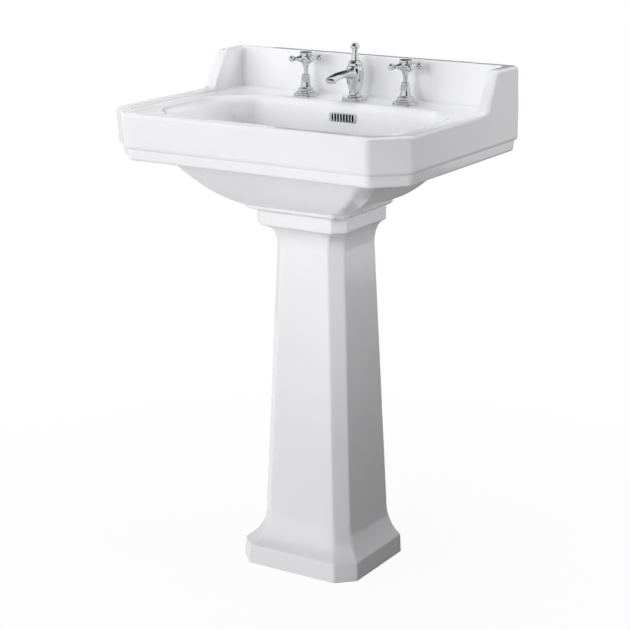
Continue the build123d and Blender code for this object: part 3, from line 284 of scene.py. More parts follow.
@dataclass(frozen=True)
class Glaze(Finish):
    """White glaze over fired clay: a smooth gloss that pools a little and carries a few pinholes; inside the
    overflow duct, with no glaze, the colour is a painted shade.
    """

    # Painted shade: near-black colour inside the overflow duct, standing in for the unlit cavity behind the
    # grille
    duct_shade: Triple = (0.02, 0.019, 0.018)
    low: Triple = (0.828, 0.83, 0.852)
    high: Triple = (0.866, 0.866, 0.888)
    gloss: float = 0.09
    pool: Pair = (7.0, 3.0)
    ripple: Pair = (38.0, 1.0)
    grain: Pair = (2600.0, 2.0)
    pinhole_scale: float = 70.0
    pinhole_edge: float = 26.0
    pool_tint: float = 0.7
    pool_dulling: float = 0.05
    pinhole_dulling: float = 0.03
    bare_dulling: float = 0.7
    ripple_height: float = 0.8
    grain_height: float = 0.02
    pinhole_height: float = 0.12
    relief: float = 0.12
    relief_depth: float = 0.0012
    refraction: float = 1.52
    coat: float = 0.35
    coat_rough: float = 0.04
    duct_box: tuple[Triple, Triple] = ((-0.0235, 0.1075, 0.6), (0.0235, 0.1205, 0.792))

    def lay(self, graph: Graph) -> None:
        """Lay tint, gloss, slow ripple, pinholes and the painted shade inside the duct.

        Args:
            graph: empty node tree.
        """
        pool = graph.noise(*self.pool)
        ripple = graph.noise(*self.ripple)
        grain = graph.noise(*self.grain)
        sockets = {"Vector": graph.place(), "Scale": self.pinhole_scale}
        cells = graph.add("ShaderNodeTexVoronoi", {"feature": "F1"}, sockets, "Distance")
        pinhole = (cells * self.pinhole_edge).at_most(1.0)
        # glazed is zero inside the duct, where the glaze is missing and the colour falls to the painted shade
        glazed = 1.0 - self.duct(graph)
        height = ripple * self.ripple_height + grain * self.grain_height + pinhole * self.pinhole_height
        tint = glazed * ((1.0 - self.pool_tint) + self.pool_tint * pool)
        rough = self.gloss + self.pool_dulling * pool + self.pinhole_dulling * (1.0 - pinhole)
        graph.surface(
            {
                "Base Color": graph.mix(tint, self.duct_shade, self.low, self.high),
                "Roughness": rough + self.bare_dulling * (1.0 - glazed),
                "Normal": graph.bump(height, self.relief, self.relief_depth),
                "IOR": self.refraction,
                "Coat Weight": self.coat * glazed,
                "Coat Roughness": self.coat_rough,
            }
        )

    def duct(self, graph: Graph) -> Wire:
        """Mask of the overflow duct, which the glaze does not reach and where the colour is a painted shade.

        Args:
            graph: node tree that the mask is added to.

        Returns:
            One inside the duct's box, else zero.
        """
        low, high = (Vector(corner) for corner in self.duct_box)
        where = graph.place()
        inside: Wire | float = 1.0
        for axis, middle, half in zip("XYZ", (low + high) / 2, (high - low) / 2):
            level = graph.add("ShaderNodeSeparateXYZ", {}, {0: where}, axis)
            inside = inside * abs(level - middle).under(half)
        return inside


@dataclass(frozen=True)
class Plate(Finish):
    """Bright plated or uncoated metal, with polishing marks along a direction."""

    low: Triple
    high: Triple
    rough: Pair
    stretch: Triple
    marks: float
    cloud: Pair = (55.0, 3.0)
    lines: Pair = (900.0, 3.0)
    cloud_share: float = 0.6
    line_share: float = 0.4
    mark_depth: float = 0.0004

    def lay(self, graph: Graph) -> None:
        """Lay tint, uneven polish and fine marks.

        Args:
            graph: empty node tree.
        """
        cloud = graph.noise(*self.cloud)
        lines = graph.noise(*self.lines, self.stretch)
        spread = self.rough[1] - self.rough[0]
        graph.surface(
            {
                "Base Color": graph.mix(cloud, self.low, self.high),
                "Metallic": 1.0,
                "Roughness": self.rough[0] + spread * (self.cloud_share * cloud + self.line_share * lines),
                "Normal": graph.bump(lines, self.marks, self.mark_depth),
            }
        )


@dataclass(frozen=True)
class Moulding(Finish):
    """Moulded plastic or rubber with a fine grain and a little bloom."""

    low: Triple
    high: Triple
    rough: Pair
    grain: Pair
    relief: float
    bloom: Pair = (40.0, 4.0)
    bloom_tint: float = 0.7
    grain_tint: float = 0.3
    bloom_height: float = 0.4
    relief_depth: float = 0.0004

    def lay(self, graph: Graph) -> None:
        """Lay tint, sheen and grain.

        Args:
            graph: empty node tree.
        """
        bloom = graph.noise(*self.bloom)
        grain = graph.noise(*self.grain)
        spread = self.rough[1] - self.rough[0]
        tint = self.bloom_tint * bloom + self.grain_tint * grain
        graph.surface(
            {
                "Base Color": graph.mix(tint, self.low, self.high),
                "Roughness": self.rough[0] + spread * bloom,
                "Normal": graph.bump(grain + self.bloom_height * bloom, self.relief, self.relief_depth),
            }
        )


FINISHES: dict[Slot, Finish] = {
    Slot.WARE: Glaze("white_glaze"),
    Slot.CHROME: Plate(
        "polished_chrome",
        low=(0.61, 0.62, 0.635),
        high=(0.69, 0.695, 0.70),
        rough=(0.035, 0.10),
        stretch=(1.0, 1.0, 6.0),
        marks=0.03,
    ),
    Slot.BRASS: Plate(
        "turned_brass",
        low=(0.55, 0.39, 0.16),
        high=(0.70, 0.53, 0.26),
        rough=(0.22, 0.42),
        stretch=(1.0, 1.0, 9.0),
        marks=0.2,
    ),
    Slot.RUBBER: Moulding(
        "seal_rubber",
        low=(0.018, 0.018, 0.02),
        high=(0.04, 0.04, 0.042),
        rough=(0.55, 0.8),
        grain=(900.0, 2.0),
        relief=0.25,
    ),
    Slot.PLASTIC: Moulding(
        "trap_plastic",
        low=(0.76, 0.765, 0.76),
        high=(0.83, 0.83, 0.82),
        rough=(0.22, 0.38),
        grain=(1700.0, 2.0),
        relief=0.08,
    ),
    Slot.NYLON: Moulding(
        "natural_nylon",
        low=(0.64, 0.62, 0.55),
        high=(0.74, 0.72, 0.66),
        rough=(0.38, 0.55),
        grain=(1300.0, 2.0),
        relief=0.12,
    ),
    Slot.STEEL: Plate(
        "drawn_steel",
        low=(0.46, 0.47, 0.48),
        high=(0.58, 0.585, 0.59),
        rough=(0.18, 0.36),
        stretch=(8.0, 8.0, 1.0),
        marks=0.15,
    ),
}


class Palette:
    """Materials of the sink, each made once."""

    def __init__(self) -> None:
        """Make every finish."""
        self.materials = {slot: finish.build() for slot, finish in FINISHES.items()}

    def dress_nodes(self) -> None:
        """Give every node of the frame the finish of its slot."""
        for entry in frame["record"]["subparts"]:
            node = frame["nodes"][entry["node"]]
            node.data.materials.clear()
            node.data.materials.append(self.materials[Slot(entry["material_slot"])])


@dataclass
class Form:
    """Points and faces of a shape, in millimetres."""

    points: np.ndarray
    faces: list[tuple[int, ...]]

    def joined(self, other: "Form") -> "Form":
        """Join another shape.

        Args:
            other: shape that is added.

        Returns:
            Both shapes as one.
        """
        start = len(self.points)
        faces = self.faces + [tuple(start + index for index in face) for face in other.faces]
        return Form(np.vstack([self.points, other.points]), faces)

    def moved(self, offset: Triple) -> "Form":
        """The shape at another place."""
        return Form(self.points + np.array(offset), list(self.faces))

    def spun(self, angle: float) -> "Form":
        """Turn the shape about the upright axis.

        Args:
            angle: turn in degrees.

        Returns:
            The turned shape.
        """
        turn = math.radians(angle)
        cosine, sine = math.cos(turn), math.sin(turn)
        matrix = np.array([[cosine, -sine, 0.0], [sine, cosine, 0.0], [0.0, 0.0, 1.0]])
        return Form(self.points @ matrix.T, list(self.faces))

    def laid(self) -> "Form":
        """The shape with its upright axis laid along X."""
        return Form(self.points[:, [2, 1, 0]] * np.array([1.0, 1.0, -1.0]), list(self.faces))

    def mesh(self, name: str) -> bpy.types.Mesh:
        """Make a mesh in metres, with its faces turned outwards.

        Args:
            name: name of the mesh.

        Returns:
            The mesh, shaded smooth.
        """
        mesh = bpy.data.meshes.new(name)
        mesh.from_pydata((self.points * MM).tolist(), [], self.faces)
        work = bmesh.new()
        work.from_mesh(mesh)
        bmesh.ops.remove_doubles(work, verts=work.verts, dist=WELD)
        bmesh.ops.recalc_face_normals(work, faces=work.faces)
        work.to_mesh(mesh)
        work.free()
        mesh.shade_smooth()
        return mesh

    @staticmethod
    def of_mesh(mesh: bpy.types.Mesh) -> "Form":
        """Shape of a mesh."""
        points = np.array([vertex.co[:] for vertex in mesh.vertices]) / MM
        return Form(points, [tuple(face.vertices) for face in mesh.polygons])


def baked(piece: bpy.types.Object) -> bpy.types.Mesh:
    """Apply a piece's modifiers.

    Args:
        piece: object in the scene.

    Returns:
        Its evaluated mesh, which the piece now holds with no modifier.
    """
    bpy.context.view_layer.update()
    evaluated = piece.evaluated_get(bpy.context.evaluated_depsgraph_get())
    mesh = bpy.data.meshes.new_from_object(evaluated)
    piece.modifiers.clear()
    old = piece.data
    piece.data = mesh
    bpy.data.meshes.remove(old)
    return mesh


def shown(name: str, data: bpy.types.ID) -> bpy.types.Object:
    """Put a mesh, a lamp or a camera in the scene.

    Args:
        name: name of the object.
        data: what the object holds.

    Returns:
        The object.
    """
    piece = bpy.data.objects.new(name, data)
    bpy.context.scene.collection.objects.link(piece)
    return piece


def discard(piece: bpy.types.Object) -> None:
    """Remove a helper and its mesh.

    Args:
        piece: object that is no longer needed.
    """
    mesh = piece.data
    bpy.data.objects.remove(piece)
    bpy.data.meshes.remove(mesh)


def change_by(piece: bpy.types.Object, way: Change, tools: Sequence[Form]) -> None:
    """Join closed shapes to a piece or take them away.

    Args:
        piece: object that is changed.
        way: whether the shapes are joined or cut.
        tools: closed shapes.
    """
    cutters = []
    for number, tool in enumerate(tools):
        cutter = shown(f"cutter_{number}", tool.mesh("cutter"))
        change = piece.modifiers.new("cut", "BOOLEAN")
        change.operation = way.value
        change.solver = "EXACT"
        change.object = cutter
        cutters.append(cutter)
    baked(piece)
    for cutter in cutters:
        discard(cutter)


def softened(piece: bpy.types.Object, angle: float) -> None:
    """Shade a piece smooth, with its flats kept flat.

    Args:
        piece: object that is shaded.
        angle: edges past this many degrees stay crisp.
    """
    piece.data.shade_smooth()
    piece.data.set_sharp_from_angle(angle=math.radians(angle))
    change = piece.modifiers.new("weigh", "WEIGHTED_NORMAL")
    change.mode = "FACE_AREA"
    change.weight = FLAT_WEIGHT
    change.keep_sharp = True
    baked(piece)


def rounded_path(
    corners: Sequence[Pair],
    radii: Sequence[float],
    arc_steps: int = ARC_STEPS,
    spacings: Sequence[Sequence[float]] | None = None,
    closed: bool = False,
) -> np.ndarray:
    """Round the corners of a path.

    Args:
        corners: corner points.
        radii: rounding of each corner, made smaller where an edge is short.
        arc_steps: steps round each corner.
        spacings: shares along each edge where points are added.
        closed: whether the last corner joins the first.

    Returns:
        Points of the rounded path.
    """
    spots = np.array(corners, dtype=float)
    count = len(spots)
    arcs: list[np.ndarray] = []
    for index, corner in enumerate(spots):
        if not closed and index in (0, count - 1):
            arcs.append(corner[None, :])
            continue
        back, ahead = spots[index - 1] - corner, spots[(index + 1) % count] - corner
        back_length, ahead_length = np.linalg.norm(back), np.linalg.norm(ahead)
        back, ahead = back / back_length, ahead / ahead_length
        half = 0.5 * math.acos(float(np.clip(back @ ahead, -1.0, 1.0)))
        reach = min(radii[index] / math.tan(half), EDGE_SHARE * back_length, EDGE_SHARE * ahead_length)
        sweep = math.pi - 2 * half
        if reach < TINY or sweep < STRAIGHT:
            arcs.append(corner[None, :])
            continue
        radius = reach * math.tan(half)
        middle = (back + ahead) / np.linalg.norm(back + ahead)
        centre = corner + middle * radius / math.sin(half)
        first, last = corner + back * reach - centre, corner + ahead * reach - centre
        shares = np.linspace(0.0, 1.0, arc_steps + 1)[:, None]
        swing = (np.sin((1 - shares) * sweep) * first + np.sin(shares * sweep) * last) / math.sin(sweep)
        arcs.append(centre + swing)
    path = []
    for index, arc in enumerate(arcs):
        path.extend(arc)
        if index == count - 1 and not closed:
            break
        if spacings is not None:
            ahead = arcs[(index + 1) % count][0]
            path.extend(arc[-1] + (ahead - arc[-1]) * share for share in spacings[index])
    return np.array(path)


def rounded_rows(rows: Sequence[Triple], arc_steps: int = ARC_STEPS) -> np.ndarray:
    """Round an open path whose rows give each corner's two places and its rounding."""
    return rounded_path([row[:2] for row in rows], [row[2] for row in rows], arc_steps)


def smooth_path(points: Sequence[Sequence[float]], steps: int) -> np.ndarray:
    """Natural cubic curve through points.

    Args:
        points: points that it passes through.
        steps: steps between each two of them.

    Returns:
        Points along the curve.
    """
    spots = np.array(points, dtype=float)
    gaps = np.linalg.norm(np.diff(spots, axis=0), axis=1)
    count = len(spots)
    matrix, right = np.eye(count), np.zeros_like(spots)
    for row in range(1, count - 1):
        matrix[row, row - 1 : row + 2] = gaps[row - 1], 2 * (gaps[row - 1] + gaps[row]), gaps[row]
        ahead = (spots[row + 1] - spots[row]) / gaps[row]
        right[row] = 6 * (ahead - (spots[row] - spots[row - 1]) / gaps[row - 1])
    bend = np.linalg.solve(matrix, right)
    path = []
    for row, gap in enumerate(gaps):
        for share in np.linspace(0.0, 1.0, steps, endpoint=False):
            near, far = 1 - share, share
            curve = ((near**3 - near) * bend[row] + (far**3 - far) * bend[row + 1]) * gap * gap / 6
            path.append(near * spots[row] + far * spots[row + 1] + curve)
    path.append(spots[-1])
    return np.array(path)


def arc_path(first: Pair, middle: Pair, last: Pair, steps: int) -> np.ndarray:
    """Arc of a circle through three points.

    Args:
        first: start of the arc.
        middle: point on the arc.
        last: end of the arc.
        steps: steps along the arc.

    Returns:
        Points along the arc.
    """
    (ax, ay), (bx, by), (cx, cy) = first, middle, last
    matrix = np.array([[bx - ax, by - ay], [cx - ax, cy - ay]])
    squares = np.array([bx * bx - ax * ax + by * by - ay * ay, cx * cx - ax * ax + cy * cy - ay * ay]) / 2
    centre = np.linalg.solve(matrix, squares)
    turns = np.unwrap([math.atan2(y - centre[1], x - centre[0]) for x, y in (first, middle, last)])
    turn = np.linspace(turns[0], turns[2], steps + 1)
    return centre + ring(math.hypot(ax - centre[0], ay - centre[1]), turn)


def ring(radius: float, turn: np.ndarray) -> np.ndarray:
    """Points of a circle about the origin, at given angles."""
    return radius * np.column_stack([np.cos(turn), np.sin(turn)])


def full_turn(steps: int) -> np.ndarray:
    """Angles of even steps once round."""
    return np.linspace(0.0, FULL_TURN, steps, endpoint=False)


def raised(flat: np.ndarray, height: float) -> np.ndarray:
    """Flat loop lifted to a height."""
    return np.column_stack([flat, np.full(len(flat), height)])


def stood(flat: np.ndarray, depth: float) -> np.ndarray:
    """Flat loop stood upright, facing the front, at a place across the depth."""
    return np.column_stack([flat[:, 0], np.full(len(flat), depth), flat[:, 1]])


def skin(loops: Sequence[np.ndarray], closed: bool) -> Form:
    """Join closed loops of equally many points into a skin.

    Args:
        loops: loops in order, each an array of points.
        closed: whether the last loop joins the first.

    Returns:
        Shape of four-sided faces.
    """
    width = len(loops[0])
    faces = []
    rows = len(loops) if closed else len(loops) - 1
    for row in range(rows):
        here, above = row * width, (row + 1) % len(loops) * width
        for place in range(width):
            ahead = (place + 1) % width
            faces.append((here + place, here + ahead, above + ahead, above + place))
    return Form(np.vstack(loops), faces)


def capped(loops: Sequence[np.ndarray]) -> Form:
    """Join loops into a skin with both ends closed by one face each.

    Args:
        loops: loops in order.

    Returns:
        Closed shape.
    """
    form = skin(loops, closed=False)
    width, last = len(loops[0]), (len(loops) - 1) * len(loops[0])
    form.faces.append(tuple(reversed(range(width))))
    form.faces.append(tuple(last + index for index in range(width)))
    return form


def turned(profile: Sequence[Pair] | np.ndarray, centre: Triple = ORIGIN, steps: int = 72) -> Form:
    """Turn a profile about an upright axis.

    Args:
        profile: radius and height of each point; a profile that leaves the axis is joined end to end.
        centre: foot of the axis.
        steps: steps round the axis.

    Returns:
        Closed shape.
    """
    turn = full_turn(steps)
    loops = [raised(ring(max(radius, POLE), turn), height) for radius, height in profile]
    return skin(loops, closed=profile[0][0] > TINY).moved(centre)


def blocked(low: Triple, high: Triple) -> Form:
    """Plain block, for cutting.

    Args:
        low: lowest corner.
        high: highest corner.

    Returns:
        Closed shape.
    """
    xs, ys, zs = zip(low, high)
    points = np.array([(x, y, z) for x in xs for y in ys for z in zs], dtype=float)
    faces = [(0, 1, 3, 2), (4, 6, 7, 5), (0, 4, 5, 1), (2, 3, 7, 6), (0, 2, 6, 4), (1, 5, 7, 3)]
    return Form(points, faces)


def plate_loop(
    width: float, height: float, rounding: float, edge: int = 3, arc: int = ARC_STEPS
) -> np.ndarray:
    """Rounded rectangle about the origin.

    Args:
        width: size across.
        height: size along.
        rounding: radius of the corners.
        edge: points added along each edge.
        arc: steps round each corner.

    Returns:
        Points of the closed loop.
    """
    across, along = width / 2, height / 2
    corners = [(across, -along), (across, along), (-across, along), (-across, -along)]
    share = [np.linspace(0, 1, edge + 2)[1:-1]] * len(corners)
    return rounded_path(corners, [rounding] * len(corners), arc, share, closed=True)


class Copies:
    """Geometry Nodes tree that sets out equal copies of a shape in a row or round a ring."""

    INPUTS = (
        ("Shape", "NodeSocketGeometry"),
        ("Count", "NodeSocketInt"),
        ("Step", "NodeSocketVector"),
        ("Turn", "NodeSocketFloat"),
        ("Finish", "NodeSocketMaterial"),
    )

    def __init__(self) -> None:
        """Build the tree with named inputs for its count, its step, its turn and its finish."""
        self.tree = bpy.data.node_groups.new("equal_copies", "GeometryNodeTree")
        face = self.tree.interface
        face.new_socket("Geometry", in_out="OUTPUT", socket_type="NodeSocketGeometry")
        self.sockets = {
            name: face.new_socket(name, in_out="INPUT", socket_type=kind).identifier
            for name, kind in self.INPUTS
        }
        nodes = self.tree.nodes
        given, result = nodes.new("NodeGroupInput"), nodes.new("NodeGroupOutput")
        line = nodes.new("GeometryNodeMeshLine")
        line.mode = "OFFSET"
        index = nodes.new("GeometryNodeInputIndex")
        angle = nodes.new("ShaderNodeMath")
        angle.operation = "MULTIPLY"
        spin = nodes.new("ShaderNodeCombineXYZ")
        place = nodes.new("GeometryNodeInstanceOnPoints")
        real = nodes.new("GeometryNodeRealizeInstances")
        paint = nodes.new("GeometryNodeSetMaterial")
        for source, output, target, entry in (
            (given, "Count", line, "Count"),
            (given, "Step", line, "Offset"),
            (index, 0, angle, 0),
            (given, "Turn", angle, 1),
            (angle, 0, spin, "Z"),
            (line, "Mesh", place, "Points"),
            (given, "Shape", place, "Instance"),
            (spin, 0, place, "Rotation"),
            (place, "Instances", real, "Geometry"),
            (real, "Geometry", paint, "Geometry"),
            (given, "Finish", paint, "Material"),
            (paint, "Geometry", result, "Geometry"),
        ):
            self.tree.links.new(source.outputs[output], target.inputs[entry])

    def of(self, shape: Form, count: int, step: Triple, turn: float, finish: bpy.types.Material) -> Form:
        """Set out copies of a shape.

        Args:
            shape: shape about the origin.
            count: how many.
            step: shift from one to the next, in millimetres.
            turn: turn from one to the next about the upright axis, in degrees.
            finish: material of the copies.

        Returns:
            All copies as one shape.
        """
        piece = shown("copies", shape.mesh("copies"))
        change = piece.modifiers.new("copies", "NODES")
        change.node_group = self.tree
        change[self.sockets["Count"]] = count
        change[self.sockets["Step"]] = tuple(MM * value for value in step)
        change[self.sockets["Turn"]] = math.radians(turn)
        change[self.sockets["Finish"]] = finish
        form = Form.of_mesh(baked(piece))
        discard(piece)
        return form


@dataclass
class Workshop:
    """What every sub-assembly is made with: finishes, copies and the calls that join pieces to the frame."""

    palette: Palette
    copies: Copies

    def finish(
        self, piece: bpy.types.Object, slot: Slot, body: Body, node: str, angle: float
    ) -> bpy.types.Object:
        """Dress a piece and join it to the frame.

        Args:
            piece: object with its final shape.
            slot: material slot that it takes its finish from.
            body: body that it rides on.
            node: node that it stands for.
            angle: edges past this many degrees stay crisp.

        Returns:
            The same piece.
        """
        softened(piece, angle)
        piece.data.materials.clear()
        piece.data.materials.append(self.palette.materials[slot])
        for face in piece.data.polygons:
            face.material_index = 0
        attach(piece, body.value)
        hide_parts(node)
        return piece

    def make(
        self, name: str, form: Form, slot: Slot, body: Body, node: str, angle: float
    ) -> bpy.types.Object:
        """Make a piece from a shape, dress it and join it to the frame."""
        return self.finish(shown(name, form.mesh(name)), slot, body, node, angle)

    def turning(self, node: str, form: Form, body: Body) -> bpy.types.Object:
        """Make a piece of turned chrome that stands for a node."""
        return self.make(f"{node}_turned", form, Slot.CHROME, body, node, TURNED_CRISP)


@dataclass(frozen=True)
class Plan:
    """Plan of the ware at one level: a rectangle with cut and rounded corners."""

    half_width: float
    front: float
    back: float
    cut: float
    back_cut: float
    rounding: float

    OPEN_ARC = 4
    SHORT = (0.5,)
    FRONT = np.linspace(0, 1, 19)[1:-1]
    BACK = np.linspace(0, 1, 17)[1:-1]
    CUT = np.linspace(0, 1, 6)[1:-1]
    BACK_END, WING, FRONT_END = (0.03, 0.13, 3), (0.15, 0.36, 30), (0.40, 0.97, 8)
    SIDE = np.concatenate([np.linspace(*BACK_END), np.linspace(*WING), np.linspace(*FRONT_END)])
    OPEN_SIDE = np.linspace(0, 1, 10)[1:-1]

    def blend(self, other: "Plan", share: float) -> "Plan":
        """Plan part of the way to another.

        Args:
            other: plan at the far end.
            share: share of the way.

        Returns:
            The plan between them.
        """
        names = ("half_width", "front", "back", "cut", "back_cut", "rounding")
        mixed = ((1 - share) * getattr(self, name) + share * getattr(other, name) for name in names)
        return Plan(*mixed)

    def grown(self, by: float) -> "Plan":
        """Plan with every side moved out.

        Args:
            by: how far, or inwards where it is below zero.

        Returns:
            The larger plan.
        """
        ease = by * (2 - math.sqrt(2))
        cuts = self.cut + ease, self.back_cut + ease
        return Plan(self.half_width + by, self.front - by, self.back + by, *cuts, self.rounding + by)

    def corners(self) -> list[Pair]:
        """Corners of the plan.

        Returns:
            Corners in order, from the right side's back end round the back, left and front.
        """
        wide, front, back = self.half_width, self.front, self.back
        cut, rear = self.cut, self.back_cut
        return [
            (wide, back - rear),
            (wide - rear, back),
            (rear - wide, back),
            (-wide, back - rear),
            (-wide, front + cut),
            (cut - wide, front),
            (wide - cut, front),
            (wide, front + cut),
        ]

    def loop(self, height: float | Rule) -> np.ndarray:
        """Closed loop of the plan.

        Args:
            height: level of the loop, or a rule that gives it from the places across the depth.

        Returns:
            Points of the loop.
        """
        corners = self.corners()
        far_side = 1 - self.SIDE[::-1]
        shares = [self.SHORT, self.BACK, self.SHORT, self.SIDE, self.CUT, self.FRONT, self.CUT, far_side]
        flat = rounded_path(corners, [self.rounding] * len(corners), spacings=shares, closed=True)
        if callable(height):
            return np.column_stack([flat, height(flat[:, 1])])
        return raised(flat, height)

    def open_path(self) -> np.ndarray:
        """Path that leaves the back open.

        Returns:
            Points from the left back end round the front to the right back end.
        """
        wide, back = self.half_width, self.back
        corners = [(-wide, back), *self.corners()[4:], (wide, back)]
        cut = self.CUT[::2]
        shares = [self.OPEN_SIDE, cut, self.FRONT[::2], cut, self.OPEN_SIDE]
        return rounded_path(corners, [self.rounding] * len(corners), self.OPEN_ARC, shares)


def eased(share: float, lean: float) -> float:
    """Share along a curve that leaves its start towards lean."""
    return 2 * share * (1 - share) * lean + share * share


@dataclass
class Basin:
    """Basin of glazed ware, skinned in one closed sweep: up the belly, round apron and rim, down the bowl.

    A corner is given as its front cut, its back cut and its rounding, and an inset as across and along.
    """

    # Whole basin
    width: float = 567.0
    depth: float = 428.0
    foot: float = 642.0
    rim: float = 817.0
    rise: float = 65.0
    apron: float = 60.5
    band: float = 20.5
    step: float = 7.0
    deck_thickness: float = 14.0
    wall: float = 11.0
    back_wall: float = 12.0
    crisp: float = 50.0

    # Corners of the outline
    corner_cut: float = 51.0
    corner_round: float = 20.0
    round_loss: float = 0.4
    least_round: float = 6.0
    back_cut: float = 4.0

    # Apron, groove and band
    apron_lean: float = 4.5
    band_step: float = 6.0
    band_lean: float = 2.5
    groove_inset: float = 2.2
    groove_rise: float = 5.0
    apron_rounds: tuple[float, ...] = (0.0, 3.0, 6.5, 1.4, 2.6, 6.0, 0.0)

    # Rim and the step down to the deck
    rim_width: float = 23.0
    rim_round: float = 6.5
    rim_tail: float = 3.0
    rim_inner_round: float = 3.9
    rim_inner_drop: float = 8.0
    rim_arc: int = 8
    step_rise: float = 3.0
    step_round: float = 2.8
    step_ledge: float = 5.0
    step_arc: int = 5

    # Upstand and wings
    upstand_lean: float = 3.0
    wing_foot: float = 119.0
    wing_top: float = 82.0
    wing_foot_round: float = 14.0
    wing_top_round: float = 12.0
    wing_arc: int = 10

    # Bowl and waste; a row is a radius and its drop below the well
    mouth_inset: Pair = (58.0, 59.0)
    bowl_back_inset: float = 107.5
    mouth_corner: Triple = (50.0, 50.0, 30.0)
    mouth_round: float = 12.0
    mouth_share: float = 0.2
    mouth_steps: int = 13
    upper_shares: tuple[float, ...] = (0.3, 0.5, 0.7, 0.86)
    shoulder_inset: Pair = (80.0, 63.5)
    shoulder_corner: Triple = (27.0, 27.0, 26.0)
    bowl_depth: float = 134.0
    bowl_lean: float = 0.35
    bowl_drop: float = 0.95
    bowl_steps: int = 19
    floor_half: Pair = (75.0, 61.0)
    floor_corner: Triple = (26.0, 26.0, 20.0)
    well_half: float = 37.0
    well_corner: Triple = (16.0, 16.0, 16.0)
    well_half_drop: float = 1.7
    well_drop: float = 3.0
    waste: Pair = (0.0, 21.5)
    waste_rows: Rows = ((34.5, 0.0), (32.35, 0.6), (32.35, 5.0), (23.0, 5.0))

    # Seat on the pedestal's collar, bead, lip and belly
    collar_half: float = 89.5
    collar_front: float = -49.0
    seat_back: float = 106.0
    seat_corner: Triple = (20.0, 3.0, 8.0)
    bead: float = 11.0
    bead_overhang: float = 3.0
    bead_edge: float = 0.8
    bead_trim: float = 1.0
    bead_steps: int = 7
    lip_overhang: Pair = (12.5, 20.0)
    lip_corner: Triple = (19.0, 3.0, 16.0)
    lip_height: float = 3.8
    lip_edge: float = 1.6
    belly_corner: Triple = (20.0, 3.0, 22.0)
    belly_lean: float = 0.48
    belly_drop: float = 0.78
    belly_steps: int = 19
    belly_back_room: float = 17.0
    belly_top_inset: Pair = (47.0, 48.0)
    belly_top_corner: Triple = (56.4, 3.0, 10.0)

    # Overflow duct and the hump round it; a row is a height and its front
    hump_back: float = 125.5
    hump_width: float = 50.0
    hump_round: float = 2.0
    hump_foot_front: float = 95.0
    hump_rows: Rows = ((676.0, 101.0), (700.0, 106.0), (730.0, 109.5))
    hump_bite: float = 4.0
    duct_half: float = 16.0
    duct_front: float = 114.0
    duct_depth: float = 5.5
    duct_floor: float = 4.0
    overflow_drop: float = 26.0
    overflow_size: Triple = (46.0, 13.0, 5.0)
    overflow_ends: Pair = (-4.0, 13.0)

    # Holes for bolts and taps
    bolt_drop: float = 44.0
    bolt_half_spacing: float = 140.0
    bolt_radius: float = 7.0
    bolt_ends: Pair = (4.0, -16.0)
    bolt_steps: int = 32
    tap_y: float = 146.0
    tap_hole: float = 14.0
    tap_room: float = 3.0
    tap_steps: int = 40

    def __post_init__(self) -> None:
        """Work out the levels and the crest of the wings."""
        self.wall_y, self.front_y = self.depth / 2, -self.depth / 2
        self.bowl_back = self.wall_y - self.bowl_back_inset
        self.groove = self.rim - self.apron
        self.band_foot = self.groove - self.band
        self.deck = self.rim - self.step
        self.under = self.deck - self.deck_thickness
        self.seat = self.foot + self.bead
        top = self.rim + self.rise
        self.crest = rounded_rows(
            [
                (self.front_y, self.rim, 0.0),
                (self.wall_y - self.wing_foot, self.rim, self.wing_foot_round),
                (self.wall_y - self.wing_top, top, self.wing_top_round),
                (self.wall_y + self.rim_width, top, 0.0),
            ],
            self.wing_arc,
        )

    def outline(self, inset: float, side: float, back: float) -> Plan:
        """Outline of the basin, drawn in.

        Args:
            inset: how far its front and cuts are drawn in.
            side: how far its sides are drawn in.
            back: how far its back is drawn in.

        Returns:
            Plan of the outline.
        """
        cut = self.corner_cut + inset * (math.sqrt(2) - 1) - side
        half = self.width / 2 - side
        rounding = max(self.corner_round - self.round_loss * max(inset, 0.0), self.least_round)
        return Plan(half, self.front_y + inset, self.wall_y - back, cut, self.back_cut, rounding)

    def crest_at(self, drop: float) -> Rule:
        """Rule for a loop that runs a drop below the crest of rim, wings and upstand."""
        return lambda places: np.interp(places, self.crest[:, 0], self.crest[:, 1]) - drop

    def crested(self, inset: float, drop: float) -> np.ndarray:
        """Loop near the crest, whose ends lean in towards the top.

        Args:
            inset: how far the loop is drawn in from the outline.
            drop: how far it runs below the crest.

        Returns:
            Points of the loop.
        """
        outer = inset < self.rim_width / 2
        lean = self.apron_lean * drop / self.apron if outer else 0.0
        loop = self.outline(inset + lean, inset, inset).loop(self.crest_at(drop))
        lift = np.clip((loop[:, 2] - self.rim) / self.rise, 0.0, 1.0)
        if outer:
            loop[:, 0] -= np.sign(loop[:, 0]) * self.upstand_lean * lift
        return loop

    def apron_loops(self) -> list[np.ndarray]:
        """Loops from the underside of the deck, down inside the apron, round the band and up to the rim.

        Returns:
            Loops in order.
        """
        band_in = self.band_step + self.band_lean
        wall_in = band_in + self.wall
        corners = [
            (wall_in, self.under),
            (wall_in, self.band_foot),
            (band_in, self.band_foot),
            (self.band_step, self.groove),
            (self.groove_inset, self.groove),
            (0.0, self.groove + self.groove_rise),
            (0.0, self.rim - self.rim_round),
        ]
        loops = []
        for inset, height in rounded_path(corners, self.apron_rounds):
            inner = inset > band_in + self.wall / 2
            lean = self.apron_lean * (1.0 if inner else min(1.0, (self.rim - height) / self.apron))
            loops.append(self.outline(inset + lean, inset, self.back_wall if inner else 0.0).loop(height))
        return loops

